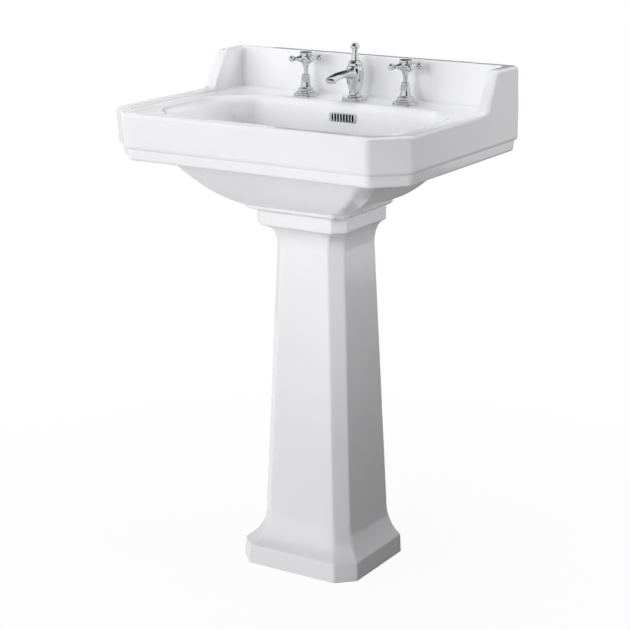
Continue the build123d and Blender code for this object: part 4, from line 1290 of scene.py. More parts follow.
    def rim_loops(self) -> list[np.ndarray]:
        """Loops over the crest and down to the deck.

        Returns:
            Loops in order.
        """
        profile = rounded_rows(
            [
                (0.0, self.rim_tail * self.rim_round, 0.0),
                (0.0, 0.0, self.rim_round),
                (self.rim_width, 0.0, self.rim_inner_round),
                (self.rim_width, self.rim_inner_drop, 0.0),
            ],
            self.rim_arc,
        )
        step = rounded_rows(
            [
                (self.rim_width, self.deck + self.step_rise, 0.0),
                (self.rim_width, self.deck, self.step_round),
                (self.rim_width + self.step_ledge, self.deck, 0.0),
            ],
            self.step_arc,
        )
        loops = [self.crested(inset, drop) for inset, drop in profile[1:-1]]
        return loops + [self.outline(inset, inset, inset).loop(height) for inset, height in step]

    def bowl_plans(self) -> tuple[Plan, Plan, Plan, Plan]:
        """Plans that the bowl runs through.

        Returns:
            Plans at the deck, the shoulder, the edge of the floor and the well.
        """
        half, front = self.width / 2, self.front_y
        across, along = self.mouth_inset
        mouth = Plan(half - across, front + along, self.bowl_back, *self.mouth_corner)
        across, along = self.shoulder_inset
        sides = half - across - self.wall, front + along + self.wall
        shoulder = Plan(*sides, self.bowl_back, *self.shoulder_corner)
        middle = self.waste[1]
        across, along = self.floor_half
        floor = Plan(across, middle - along, middle + along, *self.floor_corner)
        well = Plan(self.well_half, middle - self.well_half, middle + self.well_half, *self.well_corner)
        return mouth, shoulder, floor, well

    def bowl_loops(self) -> list[np.ndarray]:
        """Loops from the deck down into the bowl.

        Returns:
            Loops in order.
        """
        mouth, shoulder, floor, well = self.bowl_plans()
        floor_z = self.deck - self.bowl_depth
        span = self.deck - self.band_foot
        loops = []
        edge, low = mouth.grown(self.mouth_round), mouth.blend(shoulder, self.mouth_share)
        for share in np.linspace(0, 1, self.mouth_steps):
            first, last = edge.blend(mouth, share), mouth.blend(low, share)
            height = self.deck - share * share * self.mouth_share * span
            loops.append(first.blend(last, share).loop(height))
        for share in self.upper_shares:
            loops.append(mouth.blend(shoulder, share).loop(self.deck - share * span))
        for share in np.linspace(0, 1, self.bowl_steps):
            height = self.band_foot + (floor_z - self.band_foot) * eased(share, self.bowl_drop)
            loops.append(self.bowl_section(shoulder, floor, share).loop(height))
        loops.append(floor.blend(well, 0.5).loop(floor_z - self.well_half_drop))
        loops.append(well.loop(floor_z - self.well_drop))
        return loops

    def bowl_section(self, shoulder: Plan, floor: Plan, share: float) -> Plan:
        """Section of the bowl between its shoulder and its floor.

        Args:
            shoulder: plan at the shoulder.
            floor: plan at the edge of the floor.
            share: share of the way down.

        Returns:
            Plan whose sides run in on a curve, and whose corners change evenly.
        """
        sides = shoulder.blend(floor, eased(share, self.bowl_lean))
        corner = shoulder.blend(floor, share)
        return Plan(sides.half_width, sides.front, sides.back, corner.cut, corner.back_cut, corner.rounding)

    def waste_loops(self, guide: np.ndarray) -> list[np.ndarray]:
        """Round loops of the flange recess and the waste hole.

        Args:
            guide: last loop of the bowl, whose angles and level they follow.

        Returns:
            Loops in order.
        """
        turn = np.arctan2(guide[:, 1] - self.waste[1], guide[:, 0] - self.waste[0])
        rows = [(radius, guide[0, 2] - drop) for radius, drop in self.waste_rows]
        rows.append((rows[-1][0], self.seat))
        return [raised(ring(radius, turn) + np.array(self.waste), height) for radius, height in rows]

    def belly_loops(self) -> list[np.ndarray]:
        """Loops from the hollow foot, round the bead and up the belly to the deck.

        Returns:
            Loops in order.
        """
        half, front, back = self.collar_half, self.collar_front, self.seat_back
        hollow = Plan(half - self.wall, front + self.wall, back - self.wall, *self.seat_corner)
        bead = Plan(half + self.bead_overhang, front - self.bead_overhang, back, *self.seat_corner)
        across, along = self.lip_overhang
        lip = Plan(half + across, front - along, back, *self.lip_corner)
        half, front, back = self.width / 2, self.front_y, self.bowl_back + self.belly_back_room
        across, along = self.shoulder_inset
        shoulder = Plan(half - across, front + along, back, *self.belly_corner)
        across, along = self.belly_top_inset
        top = Plan(half - across, front + along, back, *self.belly_top_corner)
        start = self.foot + self.bead_edge
        loops = [hollow.loop(self.seat), hollow.loop(self.foot)]
        loops += [bead.grown(-self.bead_trim).loop(self.foot), bead.loop(start)]
        for share in np.linspace(0, 1, self.bead_steps)[1:]:
            height = start + (self.bead - self.lip_height) * share
            loops.append(bead.blend(lip, math.sin(share * QUARTER_TURN)).loop(height))
        loops.append(lip.loop(self.seat - self.lip_edge))
        for share in np.linspace(1, 0, self.belly_steps):
            height = self.band_foot + (self.seat - self.band_foot) * eased(share, self.belly_drop)
            loops.append(shoulder.blend(lip, eased(share, self.belly_lean)).loop(height))
        loops.append(top.loop(self.under))
        return loops

    def build(self, shop: Workshop) -> list[bpy.types.Object]:
        """Skin the basin, add its duct, cut its holes and dress it.

        Args:
            shop: what the piece is made with.

        Returns:
            The basin.
        """
        loops = self.belly_loops() + self.apron_loops() + self.rim_loops() + self.bowl_loops()
        loops += self.waste_loops(loops[-1])
        piece = shown("basin_ware", skin(loops, closed=True).mesh("basin_ware"))
        change_by(piece, Change.JOIN, [self.duct_hump()])
        holes = [self.overflow_mouth(), self.duct(), *self.bolt_holes(), *self.tap_holes()]
        change_by(piece, Change.CUT, holes)
        return [shop.finish(piece, Slot.WARE, Body.STAND, "basin", self.crisp)]

    def duct_hump(self) -> Form:
        """Hump behind the bowl that holds the overflow duct; its hidden front follows the bowl's wall.

        Returns:
            Closed shape.
        """
        back = self.hump_back
        ends = (self.seat, self.hump_foot_front), (self.under + self.hump_bite, self.hump_rows[-1][1])
        loops = []
        for height, front in (ends[0], *self.hump_rows, ends[1]):
            flat = plate_loop(self.hump_width, back - front, self.hump_round)
            loops.append(raised(flat + np.array([0.0, (back + front) / 2]), height))
        return capped(loops)

    def duct(self) -> Form:
        """Hollow of the overflow duct.

        Returns:
            Closed shape.
        """
        low = (-self.duct_half, self.duct_front, self.seat + self.duct_floor)
        high = (self.duct_half, self.duct_front + self.duct_depth, self.deck - self.overflow_drop)
        return blocked(low, high)

    def overflow_mouth(self) -> Form:
        """Hollow behind the grille."""
        flat = plate_loop(*self.overflow_size) + np.array([0.0, self.deck - self.overflow_drop])
        return capped([stood(flat, self.bowl_back + end) for end in self.overflow_ends])

    def bolt_holes(self) -> list[Form]:
        """Holes for the wall bolts.

        Returns:
            Two closed shapes.
        """
        holes = []
        for side in (-1, 1):
            middle = np.array([side * self.bolt_half_spacing, self.rim - self.bolt_drop])
            flat = middle + ring(self.bolt_radius, full_turn(self.bolt_steps))
            holes.append(capped([stood(flat, self.wall_y + end) for end in self.bolt_ends]))
        return holes

    def tap_holes(self) -> list[Form]:
        """Holes in the deck for the taps.

        Returns:
            Three closed shapes.
        """
        low, high = self.under - self.tap_room, self.deck + self.tap_room
        profile = [(0.0, low), (self.tap_hole, low), (self.tap_hole, high), (0.0, high)]
        places = [(side * TAP_SPACING, self.tap_y, 0.0) for side in (-1, 0, 1)]
        return [turned(profile, place, self.tap_steps) for place in places]


@dataclass
class Pedestal:
    """Pedestal of glazed ware: collar, cove, column, flare and plinth, open at the back.

    A size is given as width, reach from the wall and corner cut, and an edge as rise and inset of its rows.
    """

    height: float = 642.0
    wall_y: float = 214.0
    wall: float = 10.0
    collar: Triple = (179.0, 263.0, 20.0)
    column_top: Triple = (134.0, 235.0, 20.0)
    column_foot: Triple = (174.0, 246.0, 22.0)
    plinth_top: Triple = (233.0, 278.5, 30.0)
    plinth_foot: Triple = (236.0, 280.0, 30.0)
    collar_height: float = 26.5
    cove_height: float = 41.0
    flare_height: float = 58.0
    flare_angle: float = 62.0
    plinth_height: float = 34.0
    collar_top_edge: Rows = ((0.0, 2.5), (-0.8, 0.8), (-2.5, 0.0))
    collar_foot_edge: Rows = ((4.6, 0.0), (2.6, 0.4), (1.1, 1.3), (0.2, 2.8))
    plinth_top_edge: Rows = ((0.6, 1.4), (-0.8, 0.4), (-3.2, 0.0))
    plinth_foot_edge: Rows = ((2.0, 0.0), (0.6, 0.6), (0.0, 2.0))
    cove_start: float = 0.2
    curve_steps: int = 15
    column_shares: tuple[float, ...] = (0.25, 0.5, 0.75)
    back_top: float = 112.0
    back_foot: float = 94.95
    back_cut: float = 3.0
    cut_ease: float = 0.586
    rounding: float = 7.0
    flare_rounding: float = 9.0
    lug_size: Triple = (57.0, 40.0, 4.0)
    lug_x: float = 57.5
    lug_inset: float = 134.0
    lug_rows: Rows = ((1.0, 0.0), (1.0, 11.0), (0.97, 12.0))
    lug_hole_x: float = 53.0
    lug_hole: float = 4.0
    crisp: float = 60.0

    def __post_init__(self) -> None:
        """Work out the levels."""
        self.cove = self.height - self.collar_height
        self.neck = self.cove - self.cove_height
        self.flare = self.plinth_height + self.flare_height

    def levels(self) -> list[tuple[float, np.ndarray, float]]:
        """Outer levels, from the top down.

        Returns:
            Height, size and inset of each level.
        """
        collar, top, foot = np.array(self.collar), np.array(self.column_top), np.array(self.column_foot)
        ledge, base = np.array(self.plinth_top), np.array(self.plinth_foot)
        shares = np.linspace(0, 1, self.curve_steps)
        rows = [(self.height + rise, collar, inset) for rise, inset in self.collar_top_edge]
        rows += [(self.cove + rise, collar, inset) for rise, inset in self.collar_foot_edge]
        for share in shares[1:]:
            turn = share * QUARTER_TURN
            size = collar + (top - collar) * max(math.sin(turn), self.cove_start)
            rows.append((self.cove - self.cove_height * (1 - math.cos(turn)), size, 0.0))
        for share in self.column_shares:
            rows.append((self.neck + (self.flare - self.neck) * share, top + (foot - top) * share, 0.0))
        end = math.radians(self.flare_angle)
        for share in shares[:-1]:
            fall = self.flare_height * math.sin(end * share) / math.sin(end)
            out = (1 - math.cos(end * share)) / (1 - math.cos(end))
            rows.append((self.flare - fall, foot + (ledge - foot) * out, 0.0))
        rows += [(self.plinth_height + rise, ledge, inset) for rise, inset in self.plinth_top_edge]
        rows += [(rise, base, inset) for rise, inset in self.plinth_foot_edge]
        return rows

    def plan(self, height: float, size: np.ndarray, inset: float) -> Plan:
        """Plan of one level.

        Args:
            height: height of the level.
            size: its width, reach from the wall and corner cut.
            inset: how far it is drawn in.

        Returns:
            The plan, whose corners are rounder along the flare.
        """
        width, reach, cut = size
        front = self.wall_y - reach + inset
        back = self.wall_y - self.back_top + (self.back_top - self.back_foot) * self.drop(height)
        low = float(np.clip((self.flare - height) / self.flare_height, 0.0, 1.0))
        rounding = self.rounding + self.flare_rounding * math.sin(math.pi * low)
        return Plan(width / 2 - inset, front, back, cut - inset * self.cut_ease, self.back_cut, rounding)

    def drop(self, height: float) -> float:
        """Share of the way down the column at a height."""
        return float(np.clip((self.neck - height) / (self.neck - self.flare), 0.0, 1.0))

    def hollow(self, height: float) -> np.ndarray:
        """Size of the column's hollow at a height."""
        top, foot = np.array(self.column_top), np.array(self.column_foot)
        return top + (foot - top) * self.drop(height)

    def shell(self) -> Form:
        """Shell with its top and foot closed.

        Returns:
            Closed shape.
        """
        loops = []
        for height, size, inset in self.levels():
            outer = self.plan(height, size, inset).open_path()
            inner = self.plan(height, self.hollow(height), self.wall).open_path()[::-1]
            loops.append(raised(np.vstack([outer, inner]), height))
        form = skin(loops, closed=False)
        width, last = len(loops[0]), (len(loops) - 1) * len(loops[0])
        for place in range(width // 2 - 1):
            across = (place, place + 1, width - 2 - place, width - 1 - place)
            form.faces.append(across)
            form.faces.append(tuple(last + index for index in reversed(across)))
        return form

    def lug(self, side: int) -> Form:
        """Floor lug with its screw hole.

        Args:
            side: -1 on the left, 1 on the right.

        Returns:
            Closed shape about the screw's place.
        """
        centre = np.array([side * self.lug_hole_x, self.wall_y - self.lug_inset])
        plate = plate_loop(*self.lug_size)
        hole = ring(self.lug_hole, np.arctan2(plate[:, 1], plate[:, 0]))
        plate = plate + np.array([side * self.lug_x - centre[0], 0.0])
        rows = [(plate * share, height) for share, height in self.lug_rows]
        rows += [(hole, self.lug_rows[-1][1]), (hole, 0.0)]
        return skin([raised(flat + centre, height) for flat, height in rows], closed=True)

    def build(self, shop: Workshop) -> list[bpy.types.Object]:
        """Make the pedestal and dress it."""
        form = self.shell().joined(self.lug(-1)).joined(self.lug(1))
        return [shop.make("pedestal_ware", form, Slot.WARE, Body.STAND, "pedestal", self.crisp)]


@dataclass
class Grille:
    """Chrome grille over the overflow: a rounded frame with a row of upright bars.

    An edge is given as the inset and the depth of its rows.
    """

    place: Triple = (0.0, 106.5, 784.0)
    width: float = 55.0
    height: float = 17.0
    rounding: float = 5.0
    slots: int = 8
    pitch: float = 5.8
    slot: float = 3.0
    slot_height: float = 12.5
    slot_round: float = 1.4
    outer_edge: Rows = ((0.0, 0.0), (0.0, 1.3), (0.35, 2.1), (1.2, 2.5))
    inner_edge: Rows = ((-0.4, 2.5), (0.0, 2.1), (0.0, 0.0))
    bar_edge: Rows = ((0.0, 0.0), (0.0, 1.7), (0.25, 2.2), (0.8, 2.4))
    bar_overlap: float = 0.8
    bar_round: float = 0.1
    crisp: float = 35.0

    def frame(self) -> Form:
        """Frame with its opening.

        Returns:
            Closed shape, lying flat about the origin.
        """
        opening = (self.slots - 1) * self.pitch + self.slot
        loops = []
        for size, rounding, edge in (
            ((self.width, self.height), self.rounding, self.outer_edge),
            ((opening, self.slot_height), self.slot_round, self.inner_edge),
        ):
            for inset, depth in edge:
                flat = plate_loop(size[0] - 2 * inset, size[1] - 2 * inset, rounding - inset)
                loops.append(raised(flat, depth))
        return skin(loops, closed=True)

    def bar(self) -> Form:
        """One bar, with its front edges rounded.

        Returns:
            Closed shape, lying flat about the origin.
        """
        wide, tall = self.pitch - self.slot, self.slot_height + self.bar_overlap
        loops = []
        for inset, depth in self.bar_edge:
            loops.append(raised(plate_loop(wide - 2 * inset, tall, self.bar_round, edge=1, arc=1), depth))
        return capped(loops)

    def build(self, shop: Workshop) -> list[bpy.types.Object]:
        """Make the grille, stand it in the bowl's wall and dress it.

        Args:
            shop: what the piece is made with.

        Returns:
            The grille.
        """
        first = -(self.slots - 2) * self.pitch / 2
        chrome = shop.palette.materials[Slot.CHROME]
        bars = shop.copies.of(self.bar(), self.slots - 1, (self.pitch, 0.0, 0.0), 0.0, chrome)
        flat = self.frame().joined(bars.moved((first, 0.0, 0.0)))
        x, y, z = self.place
        points = np.column_stack([flat.points[:, 0] + x, y - flat.points[:, 2], flat.points[:, 1] + z])
        form = Form(points, flat.faces)
        name, node = "overflow_grille_plate", "overflow_grille"
        return [shop.make(name, form, Slot.CHROME, Body.STAND, node, self.crisp)]


@dataclass
class Flange:
    """Deck flange in two steps, with a fine groove between them."""

    bore: float
    radius: float
    height: float = 6.0
    groove_half: float = 0.25
    groove_depth: float = 1.1
    step: float = 0.5
    rounds: tuple[float, ...] = (0.0, 0.4, 0.7, 0.2, 0.5, 1.7, 0.0)

    def form(self) -> Form:
        """Turn the flange.

        Returns:
            Closed shape with its foot at the origin.
        """
        groove, upper = self.height / 2, self.radius - self.step
        corners = [
            (self.bore, 0.0),
            (self.radius, 0.0),
            (self.radius, groove - self.groove_half),
            (self.radius - self.groove_depth, groove),
            (upper, groove + self.groove_half),
            (upper, self.height),
            (self.bore, self.height),
        ]
        return turned(rounded_path(corners, self.rounds))


@dataclass
class Valve:
    """One valve above the deck: flange, stepped shroud, and the handle with arms, ball ends and a cap.

    Profiles are given as radius, height above the deck and, where a row has it, rounding.
    """

    side: str
    body: Body
    x: float
    y: float = 146.0
    deck: float = 810.0
    flange_r: float = 22.6
    bore: float = 12.65
    shroud_rows: Rows = (
        (bore, 6.0, 0.0),
        (16.6, 6.0, 0.4),
        (16.6, 9.0, 1.3),
        (13.9, 9.0, 0.5),
        (13.9, 13.6, 1.6),
        (10.4, 15.0, 1.8),
        (8.0, 23.5, 9.0),
        (8.0, 33.0, 0.6),
        (7.2, 33.0, 0.3),
        (7.2, 38.5, 0.9),
        (4.08, 38.5, 0.0),
        (4.08, 15.15, 0.0),
        (9.15, 15.15, 0.0),
        (9.15, 12.15, 0.0),
        (bore, 12.15, 0.0),
    )
    hub_side: Rows = ((5.2, 50.0), (6.1, 54.0), (8.6, 59.0), (10.2, 64.0), (10.4, 68.0), (10.4, 72.2))
    hub_steps: int = 5
    hub_hollow: Rows = (
        (9.8, 73.0),
        (7.0, 73.0),
        (7.0, 68.0),
        (1.75, 68.0),
        (1.75, 66.15),
        (4.15, 66.15),
        (4.15, 50.0),
    )
    cap_rows: Rows = (
        (0.0, 76.5, 0.0),
        (11.5, 76.5, 1.5),
        (11.5, 73.0, 0.5),
        (6.85, 73.0, 0.0),
        (6.85, 68.15, 0.0),
        (5.0, 68.15, 0.0),
        (5.0, 73.0, 0.0),
        (0.0, 73.0, 0.0),
    )
    arms: int = 4
    arm_height: float = 65.0
    arm_turn: float = 45.0
    arm_steps: int = 40
    neck_rows: Rows = (
        (POLE, 7.4),
        (7.0, 7.4),
        (6.9, 9.0),
        (6.2, 10.8),
        (5.0, 13.0),
        (3.9, 15.6),
        (3.2, 18.0),
        (3.0, 18.7),
    )
    collar_rows: Rows = ((3.6, 18.9), (3.9, 19.3), (3.9, 19.7), (3.6, 20.1))
    ball_reach: float = 25.0
    ball_r: float = 5.8
    ball_root: float = 3.3
    ball_points: int = 18
    crisp: float = 35.0

    def hub(self) -> Form:
        """Hub of the handle, hollow over the spindle and under the cap."""
        return turned(np.vstack([smooth_path(self.hub_side, self.hub_steps), self.hub_hollow]))

    def arm(self) -> Form:
        """One arm with its neck, collar and ball.

        Returns:
            Closed shape along X.
        """
        turn = np.linspace(math.asin(self.ball_root / self.ball_r), math.pi, self.ball_points)
        ball = np.column_stack([self.ball_r * np.sin(turn), self.ball_reach - self.ball_r * np.cos(turn)])
        return turned(np.vstack([self.neck_rows, self.collar_rows, ball]), steps=self.arm_steps).laid()

    def build(self, shop: Workshop) -> list[bpy.types.Object]:
        """Make the pieces and dress them.

        Args:
            shop: what the pieces are made with.

        Returns:
            Flange, shroud, handle and index cap.
        """
        place = (self.x, self.y, self.deck)
        flange = Flange(self.bore, self.flange_r).form().moved(place)
        shroud = turned(rounded_rows(self.shroud_rows)).moved(place)
        pieces = [
            shop.turning(f"{self.side}_flange", flange, Body.STAND),
            shop.turning(f"{self.side}_shroud", shroud, Body.STAND),
        ]
        chrome = shop.palette.materials[Slot.CHROME]
        arm = self.arm().spun(self.arm_turn)
        arms = shop.copies.of(arm, self.arms, ORIGIN, 360.0 / self.arms, chrome)
        handle = self.hub().joined(arms.moved((0.0, 0.0, self.arm_height))).moved(place)
        node = f"{self.side}_handle"
        pieces.append(shop.make(f"{node}_cast", handle, Slot.CHROME, self.body, node, self.crisp))
        cap = turned(rounded_rows(self.cap_rows)).moved(place)
        pieces.append(shop.turning(f"{self.side}_index_cap", cap, self.body))
        return pieces


@dataclass
class Spout:
    """Spout above the deck: flange, cast body, bonnet and the knob that lifts the plug.

    Profiles are given as radius and height above the deck; a row of the nose is its reach to the front, its
    height, half its width and half its thickness.
    """

    y: float = 146.0
    deck: float = 810.0
    flange_r: float = 23.2
    bore: float = 10.55
    bonnet_dome: Rows = ((12.6, 60.0), (11.4, 65.5), (7.6, 68.8))
    bonnet_steps: int = 12
    bonnet_rows: Rows = ((7.3, 69.0), (3.08, 69.0), (3.08, 60.0))
    knob_foot: float = 69.35
    knob_head: float = 89.35
    knob_top: float = 99.15
    knob_r: float = 8.5
    knob_rim: float = 0.9
    knob_rim_point: Pair = (0.25, 0.3)
    knob_dome_points: int = 16
    knob_neck: Triple = (5.6, 5.85, 7.7)
    knob_waist: float = 9.0
    knob_neck_steps: int = 14
    knob_bore: Pair = (3.15, 17.0)
    stem_foot: Rows = ((3.08, -46.0), (10.4, -46.0), (10.4, 6.0), (12.8, 6.0), (12.8, 8.0), (11.6, 8.9))
    stem_side: Rows = (
        (10.6, 9.6),
        (10.2, 15.0),
        (11.0, 20.0),
        (13.0, 26.0),
        (14.7, 33.0),
        (15.8, 42.0),
        (15.7, 50.5),
        (12.6, 60.0),
    )
    stem_end: Rows = ((3.08, 60.0),)
    nose_rows: Rows = (
        (8.0, 46.5, 11.0, 8.8),
        (22.0, 47.4, 9.8, 7.8),
        (38.0, 48.4, 10.2, 6.5),
        (52.0, 48.4, 11.4, 5.7),
        (64.0, 47.2, 12.0, 5.3),
        (74.0, 45.2, 11.9, 5.1),
        (81.0, 43.3, 10.9, 4.8),
        (85.2, 42.0, 8.6, 3.6),
        (86.9, 41.4, 5.0, 1.8),
    )
    curve_steps: int = 6
    nose_steps: int = 64
    outlet_reach: float = 77.5
    outlet_boss: Rows = ((0.0, 38.0), (7.0, 38.0), (7.4, 38.4), (7.4, 45.0), (0.0, 45.0))
    outlet_bore: Rows = ((0.0, 34.0), (5.9, 34.0), (5.9, 44.0), (0.0, 44.0))
    voxel: float = 0.55
    ease: float = 0.5
    ease_rounds: int = 8
    crisp: float = 50.0

    def bonnet(self) -> Form:
        """Domed bonnet."""
        return turned(np.vstack([arc_path(*self.bonnet_dome, self.bonnet_steps), self.bonnet_rows]))

    def knob(self) -> Form:
        """Knob with a waisted neck and a domed head.

        Returns:
            Closed shape.
        """
        head, foot = self.knob_head, self.knob_foot
        turn = np.linspace(QUARTER_TURN, 0.0, self.knob_dome_points)
        rise = self.knob_top - head - self.knob_rim
        dome = np.column_stack([self.knob_r * np.cos(turn), head + self.knob_rim + rise * np.sin(turn)])
        inset, lift = self.knob_rim_point
        rim = [(self.knob_r - inset, head + lift), (self.knob_r - self.knob_rim, head)]
        upper, waist, lower = self.knob_neck
        neck = arc_path((upper, head), (waist, foot + self.knob_waist), (lower, foot), self.knob_neck_steps)
        bore, depth = self.knob_bore
        hollow = [(bore, foot), (bore, foot + depth), (0.0, foot + depth)]
        return turned(np.vstack([dome, rim, neck, hollow]))

    def stem(self) -> Form:
        """Turned part of the body, with its shank and the bore for the lift rod."""
        side = smooth_path(self.stem_side, self.curve_steps)
        return turned(np.vstack([self.stem_foot, side, self.stem_end]))

    def nose(self) -> Form:
        """Nose: flattened sections along a path that droops towards its tip.

        Returns:
            Closed shape.
        """
        path = smooth_path(self.nose_rows, self.curve_steps)
        ahead = np.gradient(path[:, :2], axis=0)
        ahead /= np.linalg.norm(ahead, axis=1)[:, None]
        turn = full_turn(self.nose_steps)
        loops = []
        for (reach, height, half_width, half_height), (run, rise) in zip(path, ahead):
            off = half_height * np.sin(turn)
            loops.append(np.column_stack([half_width * np.cos(turn), rise * off - reach, height + run * off]))
        return capped(loops)

    def cast(self) -> bpy.types.Object:
        """Cast body: stem, nose and outlet run together, with the outlet bored.

        Returns:
            The body, not yet dressed.
        """
        place = (0.0, self.y, self.deck)
        outlet = (0.0, self.y - self.outlet_reach, self.deck)
        boss = turned(self.outlet_boss, outlet)
        form = self.stem().joined(self.nose()).moved(place).joined(boss)
        piece = shown("spout_body_cast", form.mesh("spout_body_cast"))
        change = piece.modifiers.new("even", "REMESH")
        change.mode = "VOXEL"
        change.voxel_size = self.voxel * MM
        change = piece.modifiers.new("ease", "SMOOTH")
        change.factor = self.ease
        change.iterations = self.ease_rounds
        baked(piece)
        change_by(piece, Change.CUT, [turned(self.outlet_bore, outlet)])
        return piece

    def build(self, shop: Workshop) -> list[bpy.types.Object]:
        """Make the pieces and dress them.

        Args:
            shop: what the pieces are made with.

        Returns:
            Flange, bonnet, knob and body.
        """
        place = (0.0, self.y, self.deck)
        flange = Flange(self.bore, self.flange_r).form()
        return [
            shop.turning("spout_flange", flange.moved(place), Body.STAND),
            shop.turning("spout_bonnet", self.bonnet().moved(place), Body.STAND),
            shop.turning("lift_knob", self.knob().moved(place), Body.LIFT),
            shop.finish(self.cast(), Slot.CHROME, Body.STAND, "spout_body", self.crisp),
        ]


def aimed(place: Triple, aim: Triple) -> Quaternion:
    """Turn of a thing that faces from one point to another."""
    return (Vector(aim) - Vector(place)).to_track_quat("-Z", "Y")


def sheet(name: str, width: float, height: float) -> bpy.types.Mesh:
    """Flat sheet about the origin, for the studio.

    Args:
        name: name of the mesh.
        width: size across, in metres.
        height: size along, in metres.

    Returns:
        The mesh.
    """
    wide, tall = width / MM / 2, height / MM / 2
    points = np.array([(-wide, -tall, 0.0), (wide, -tall, 0.0), (wide, tall, 0.0), (-wide, tall, 0.0)])
    return Form(points, [(0, 1, 2, 3)]).mesh(name)


@dataclass(frozen=True)
class Lamp:
    """Soft square lamp that no reflection shows; power in watts, spread of its beam in degrees."""

    name: str
    place: Triple
    aim: Triple
    size: float
    power: float
    spread: float = 115.0

    def build(self) -> None:
        """Put the lamp in the scene."""
        data = bpy.data.lights.new(self.name, "AREA")
        data.shape = "SQUARE"
        data.size = self.size
        data.energy = self.power
        data.spread = math.radians(self.spread)
        lamp = shown(self.name, data)
        lamp.visible_glossy = False
        lamp.location = self.place
        lamp.rotation_euler = aimed(self.place, self.aim).to_euler()


@dataclass(frozen=True)
class Card:
    """Card that only reflections show; a tone of one is white."""

    name: str
    place: Triple
    aim: Triple
    size: Pair
    tone: float
    weave: Pair = (400.0, 2.0)
    weave_tone: float = 0.94

    def build(self) -> None:
        """Put the card in the scene."""
        mesh = sheet(self.name, *self.size)
        turn = aimed(self.place, self.aim).to_matrix().to_4x4()
        turn.translation = self.place
        mesh.transform(turn)
        card = shown(self.name, mesh)
        material, graph = blank(self.name)
        cloth = graph.mix(graph.noise(*self.weave), (self.weave_tone * self.tone,) * 3, (self.tone,) * 3)
        graph.end(graph.add("ShaderNodeEmission", {}, {"Color": cloth, "Strength": 1.0}))
        mesh.materials.append(material)
        card.visible_camera = False
        card.visible_diffuse = False
        card.visible_shadow = False


LAMPS = (
    Lamp("key", (-1.0, -3.1, 1.35), (0.0, 0.0, 0.85), 3.2, 36.5),
    Lamp("front", (0.25, -3.2, 1.3), (0.0, 0.0, 0.85), 0.5, 7.5),
    Lamp("left", (-2.5, -1.6, 1.3), (0.0, 0.0, 0.85), 2.4, 10.0),
    Lamp("top", (-0.1, 0.1, 2.6), (0.0, 0.1, 0.8), 1.2, 19.5, 180.0),
    Lamp("side", (2.5, 1.0, 1.75), (0.0, 0.0, 0.87), 0.9, 2.7, 46.0),
    Lamp("low", (0.35, -0.55, 0.04), (0.16, -0.05, 0.7), 0.3, 0.25, 70.0),
    Lamp("back", (-1.0, 2.8, 1.2), (0.0, 0.1, 0.6), 2.0, 8.0),
)
CARDS = (
    Card("card_right", (2.2, -1.5, 1.3), (0.0, 0.0, 0.8), (1.6, 2.4), 0.015),
    Card("card_left", (-1.5, 0.95, 0.6), (0.0, 0.0, 0.6), (1.5, 1.7), 0.85),
    Card("card_top", (-0.4, -0.7, 2.7), (0.0, 0.1, 0.8), (3.2, 2.6), 0.1),
    Card("card_high", (-1.0, 1.8, 1.65), (0.0, 0.1, 0.86), (2.6, 1.6), 0.05),
    Card("card_low", (0.78, 1.05, 0.002), (0.78, 1.05, 1.0), (1.44, 2.2), 0.35),
    Card("card_behind", (-0.5, 1.75, 0.003), (-0.5, 1.75, 1.0), (1.5, 1.7), 0.3),
)


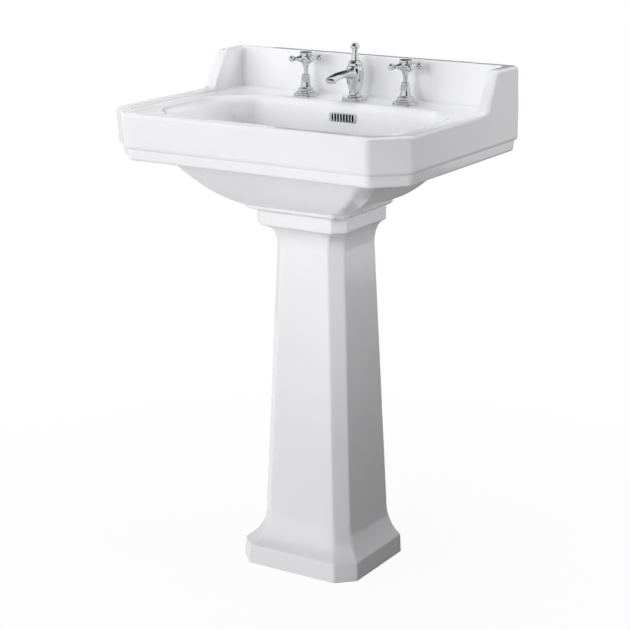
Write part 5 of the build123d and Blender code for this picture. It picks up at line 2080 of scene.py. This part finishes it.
@dataclass
class Studio:
    """Plain pale floor, soft light, cards for the metal and the glaze to show, and the camera."""

    eye: Triple = (1.5708, -2.5403, 1.2844)
    target: Triple = (0.0, 0.014, 0.453)
    lens: float = 102.7
    sensor: float = 36.0
    view_end: float = 50.0
    ambient: float = 0.03
    floor_size: float = 18.0
    floor_tone: float = 0.92
    floor_glow: float = 0.95
    floor_bounce: float = 0.4
    shadow_reach: float = 1.1

    def camera(self) -> None:
        """Set the camera at the photograph's angle."""
        data = bpy.data.cameras.new("camera")
        data.lens = self.lens
        data.sensor_width = self.sensor
        data.clip_end = self.view_end
        camera = shown("camera", data)
        camera.location = self.eye
        camera.rotation_euler = aimed(self.eye, self.target).to_euler()
        bpy.context.scene.camera = camera

    def world(self) -> None:
        """Low even light all round, and a white background for the camera and for reflections."""
        world = bpy.data.worlds.new("studio")
        bpy.context.scene.world = world
        world.use_nodes = True
        graph = Graph(world.node_tree)
        strength = self.ambient + (1.0 - self.ambient) * self.seen(graph)
        shade = graph.add("ShaderNodeBackground", {}, {"Color": WHITE, "Strength": strength})
        graph.add("ShaderNodeOutputWorld", {}, {"Surface": shade})

    @staticmethod
    def seen(graph: Graph) -> Wire:
        """Mask of the rays that show the background.

        Args:
            graph: node tree that the mask is added to.

        Returns:
            One for rays from the camera, from reflections and through clear things, else zero.
        """
        kinds = ("Is Camera Ray", "Is Glossy Ray", "Is Transmission Ray")
        camera, glossy, clear = (graph.add("ShaderNodeLightPath", output=kind) for kind in kinds)
        return (camera + glossy + clear).at_most(1.0)

    def floor(self) -> None:
        """Pale floor, white to the eye, that keeps the sink's shadow near its foot."""
        floor = shown("floor", sheet("floor", self.floor_size, self.floor_size))
        material, graph = blank("floor_white")
        seen = self.seen(graph)
        away = graph.add("ShaderNodeVectorMath", {"operation": "LENGTH"}, {0: graph.place()}, "Value")
        far = (away * (1.0 / self.shadow_reach)).at_most(1.0)
        share = seen * (self.floor_glow + (1.0 - self.floor_glow) * far * far)
        tone = self.floor_bounce + (self.floor_tone - self.floor_bounce) * seen
        plain = graph.add("ShaderNodeBsdfDiffuse", {}, {"Color": tone})
        glow = graph.add("ShaderNodeEmission", {}, {"Color": WHITE, "Strength": 1.0})
        graph.end(graph.add("ShaderNodeMixShader", {}, {0: share, 1: plain, 2: glow}))
        floor.data.materials.append(material)

    def build(self) -> None:
        """Set up the studio."""
        self.camera()
        self.world()
        self.floor()
        for thing in (*LAMPS, *CARDS):
            thing.build()
        bpy.context.scene.view_settings.view_transform = "Standard"


def main() -> None:
    """Build the sink's looks in order, and report each piece."""
    logging.basicConfig(level=logging.INFO, format="%(name)s: %(message)s")
    shop = Workshop(Palette(), Copies())
    shop.palette.dress_nodes()
    hot, cold = Valve("hot", Body.HOT, -TAP_SPACING), Valve("cold", Body.COLD, TAP_SPACING)
    for assembly in (Basin(), Pedestal(), Grille(), hot, cold, Spout()):
        for piece in assembly.build(shop):
            LOG.info("%s: %d faces", piece.name, len(piece.data.polygons))
    Studio().build()


if __name__ == "__main__":
    main()
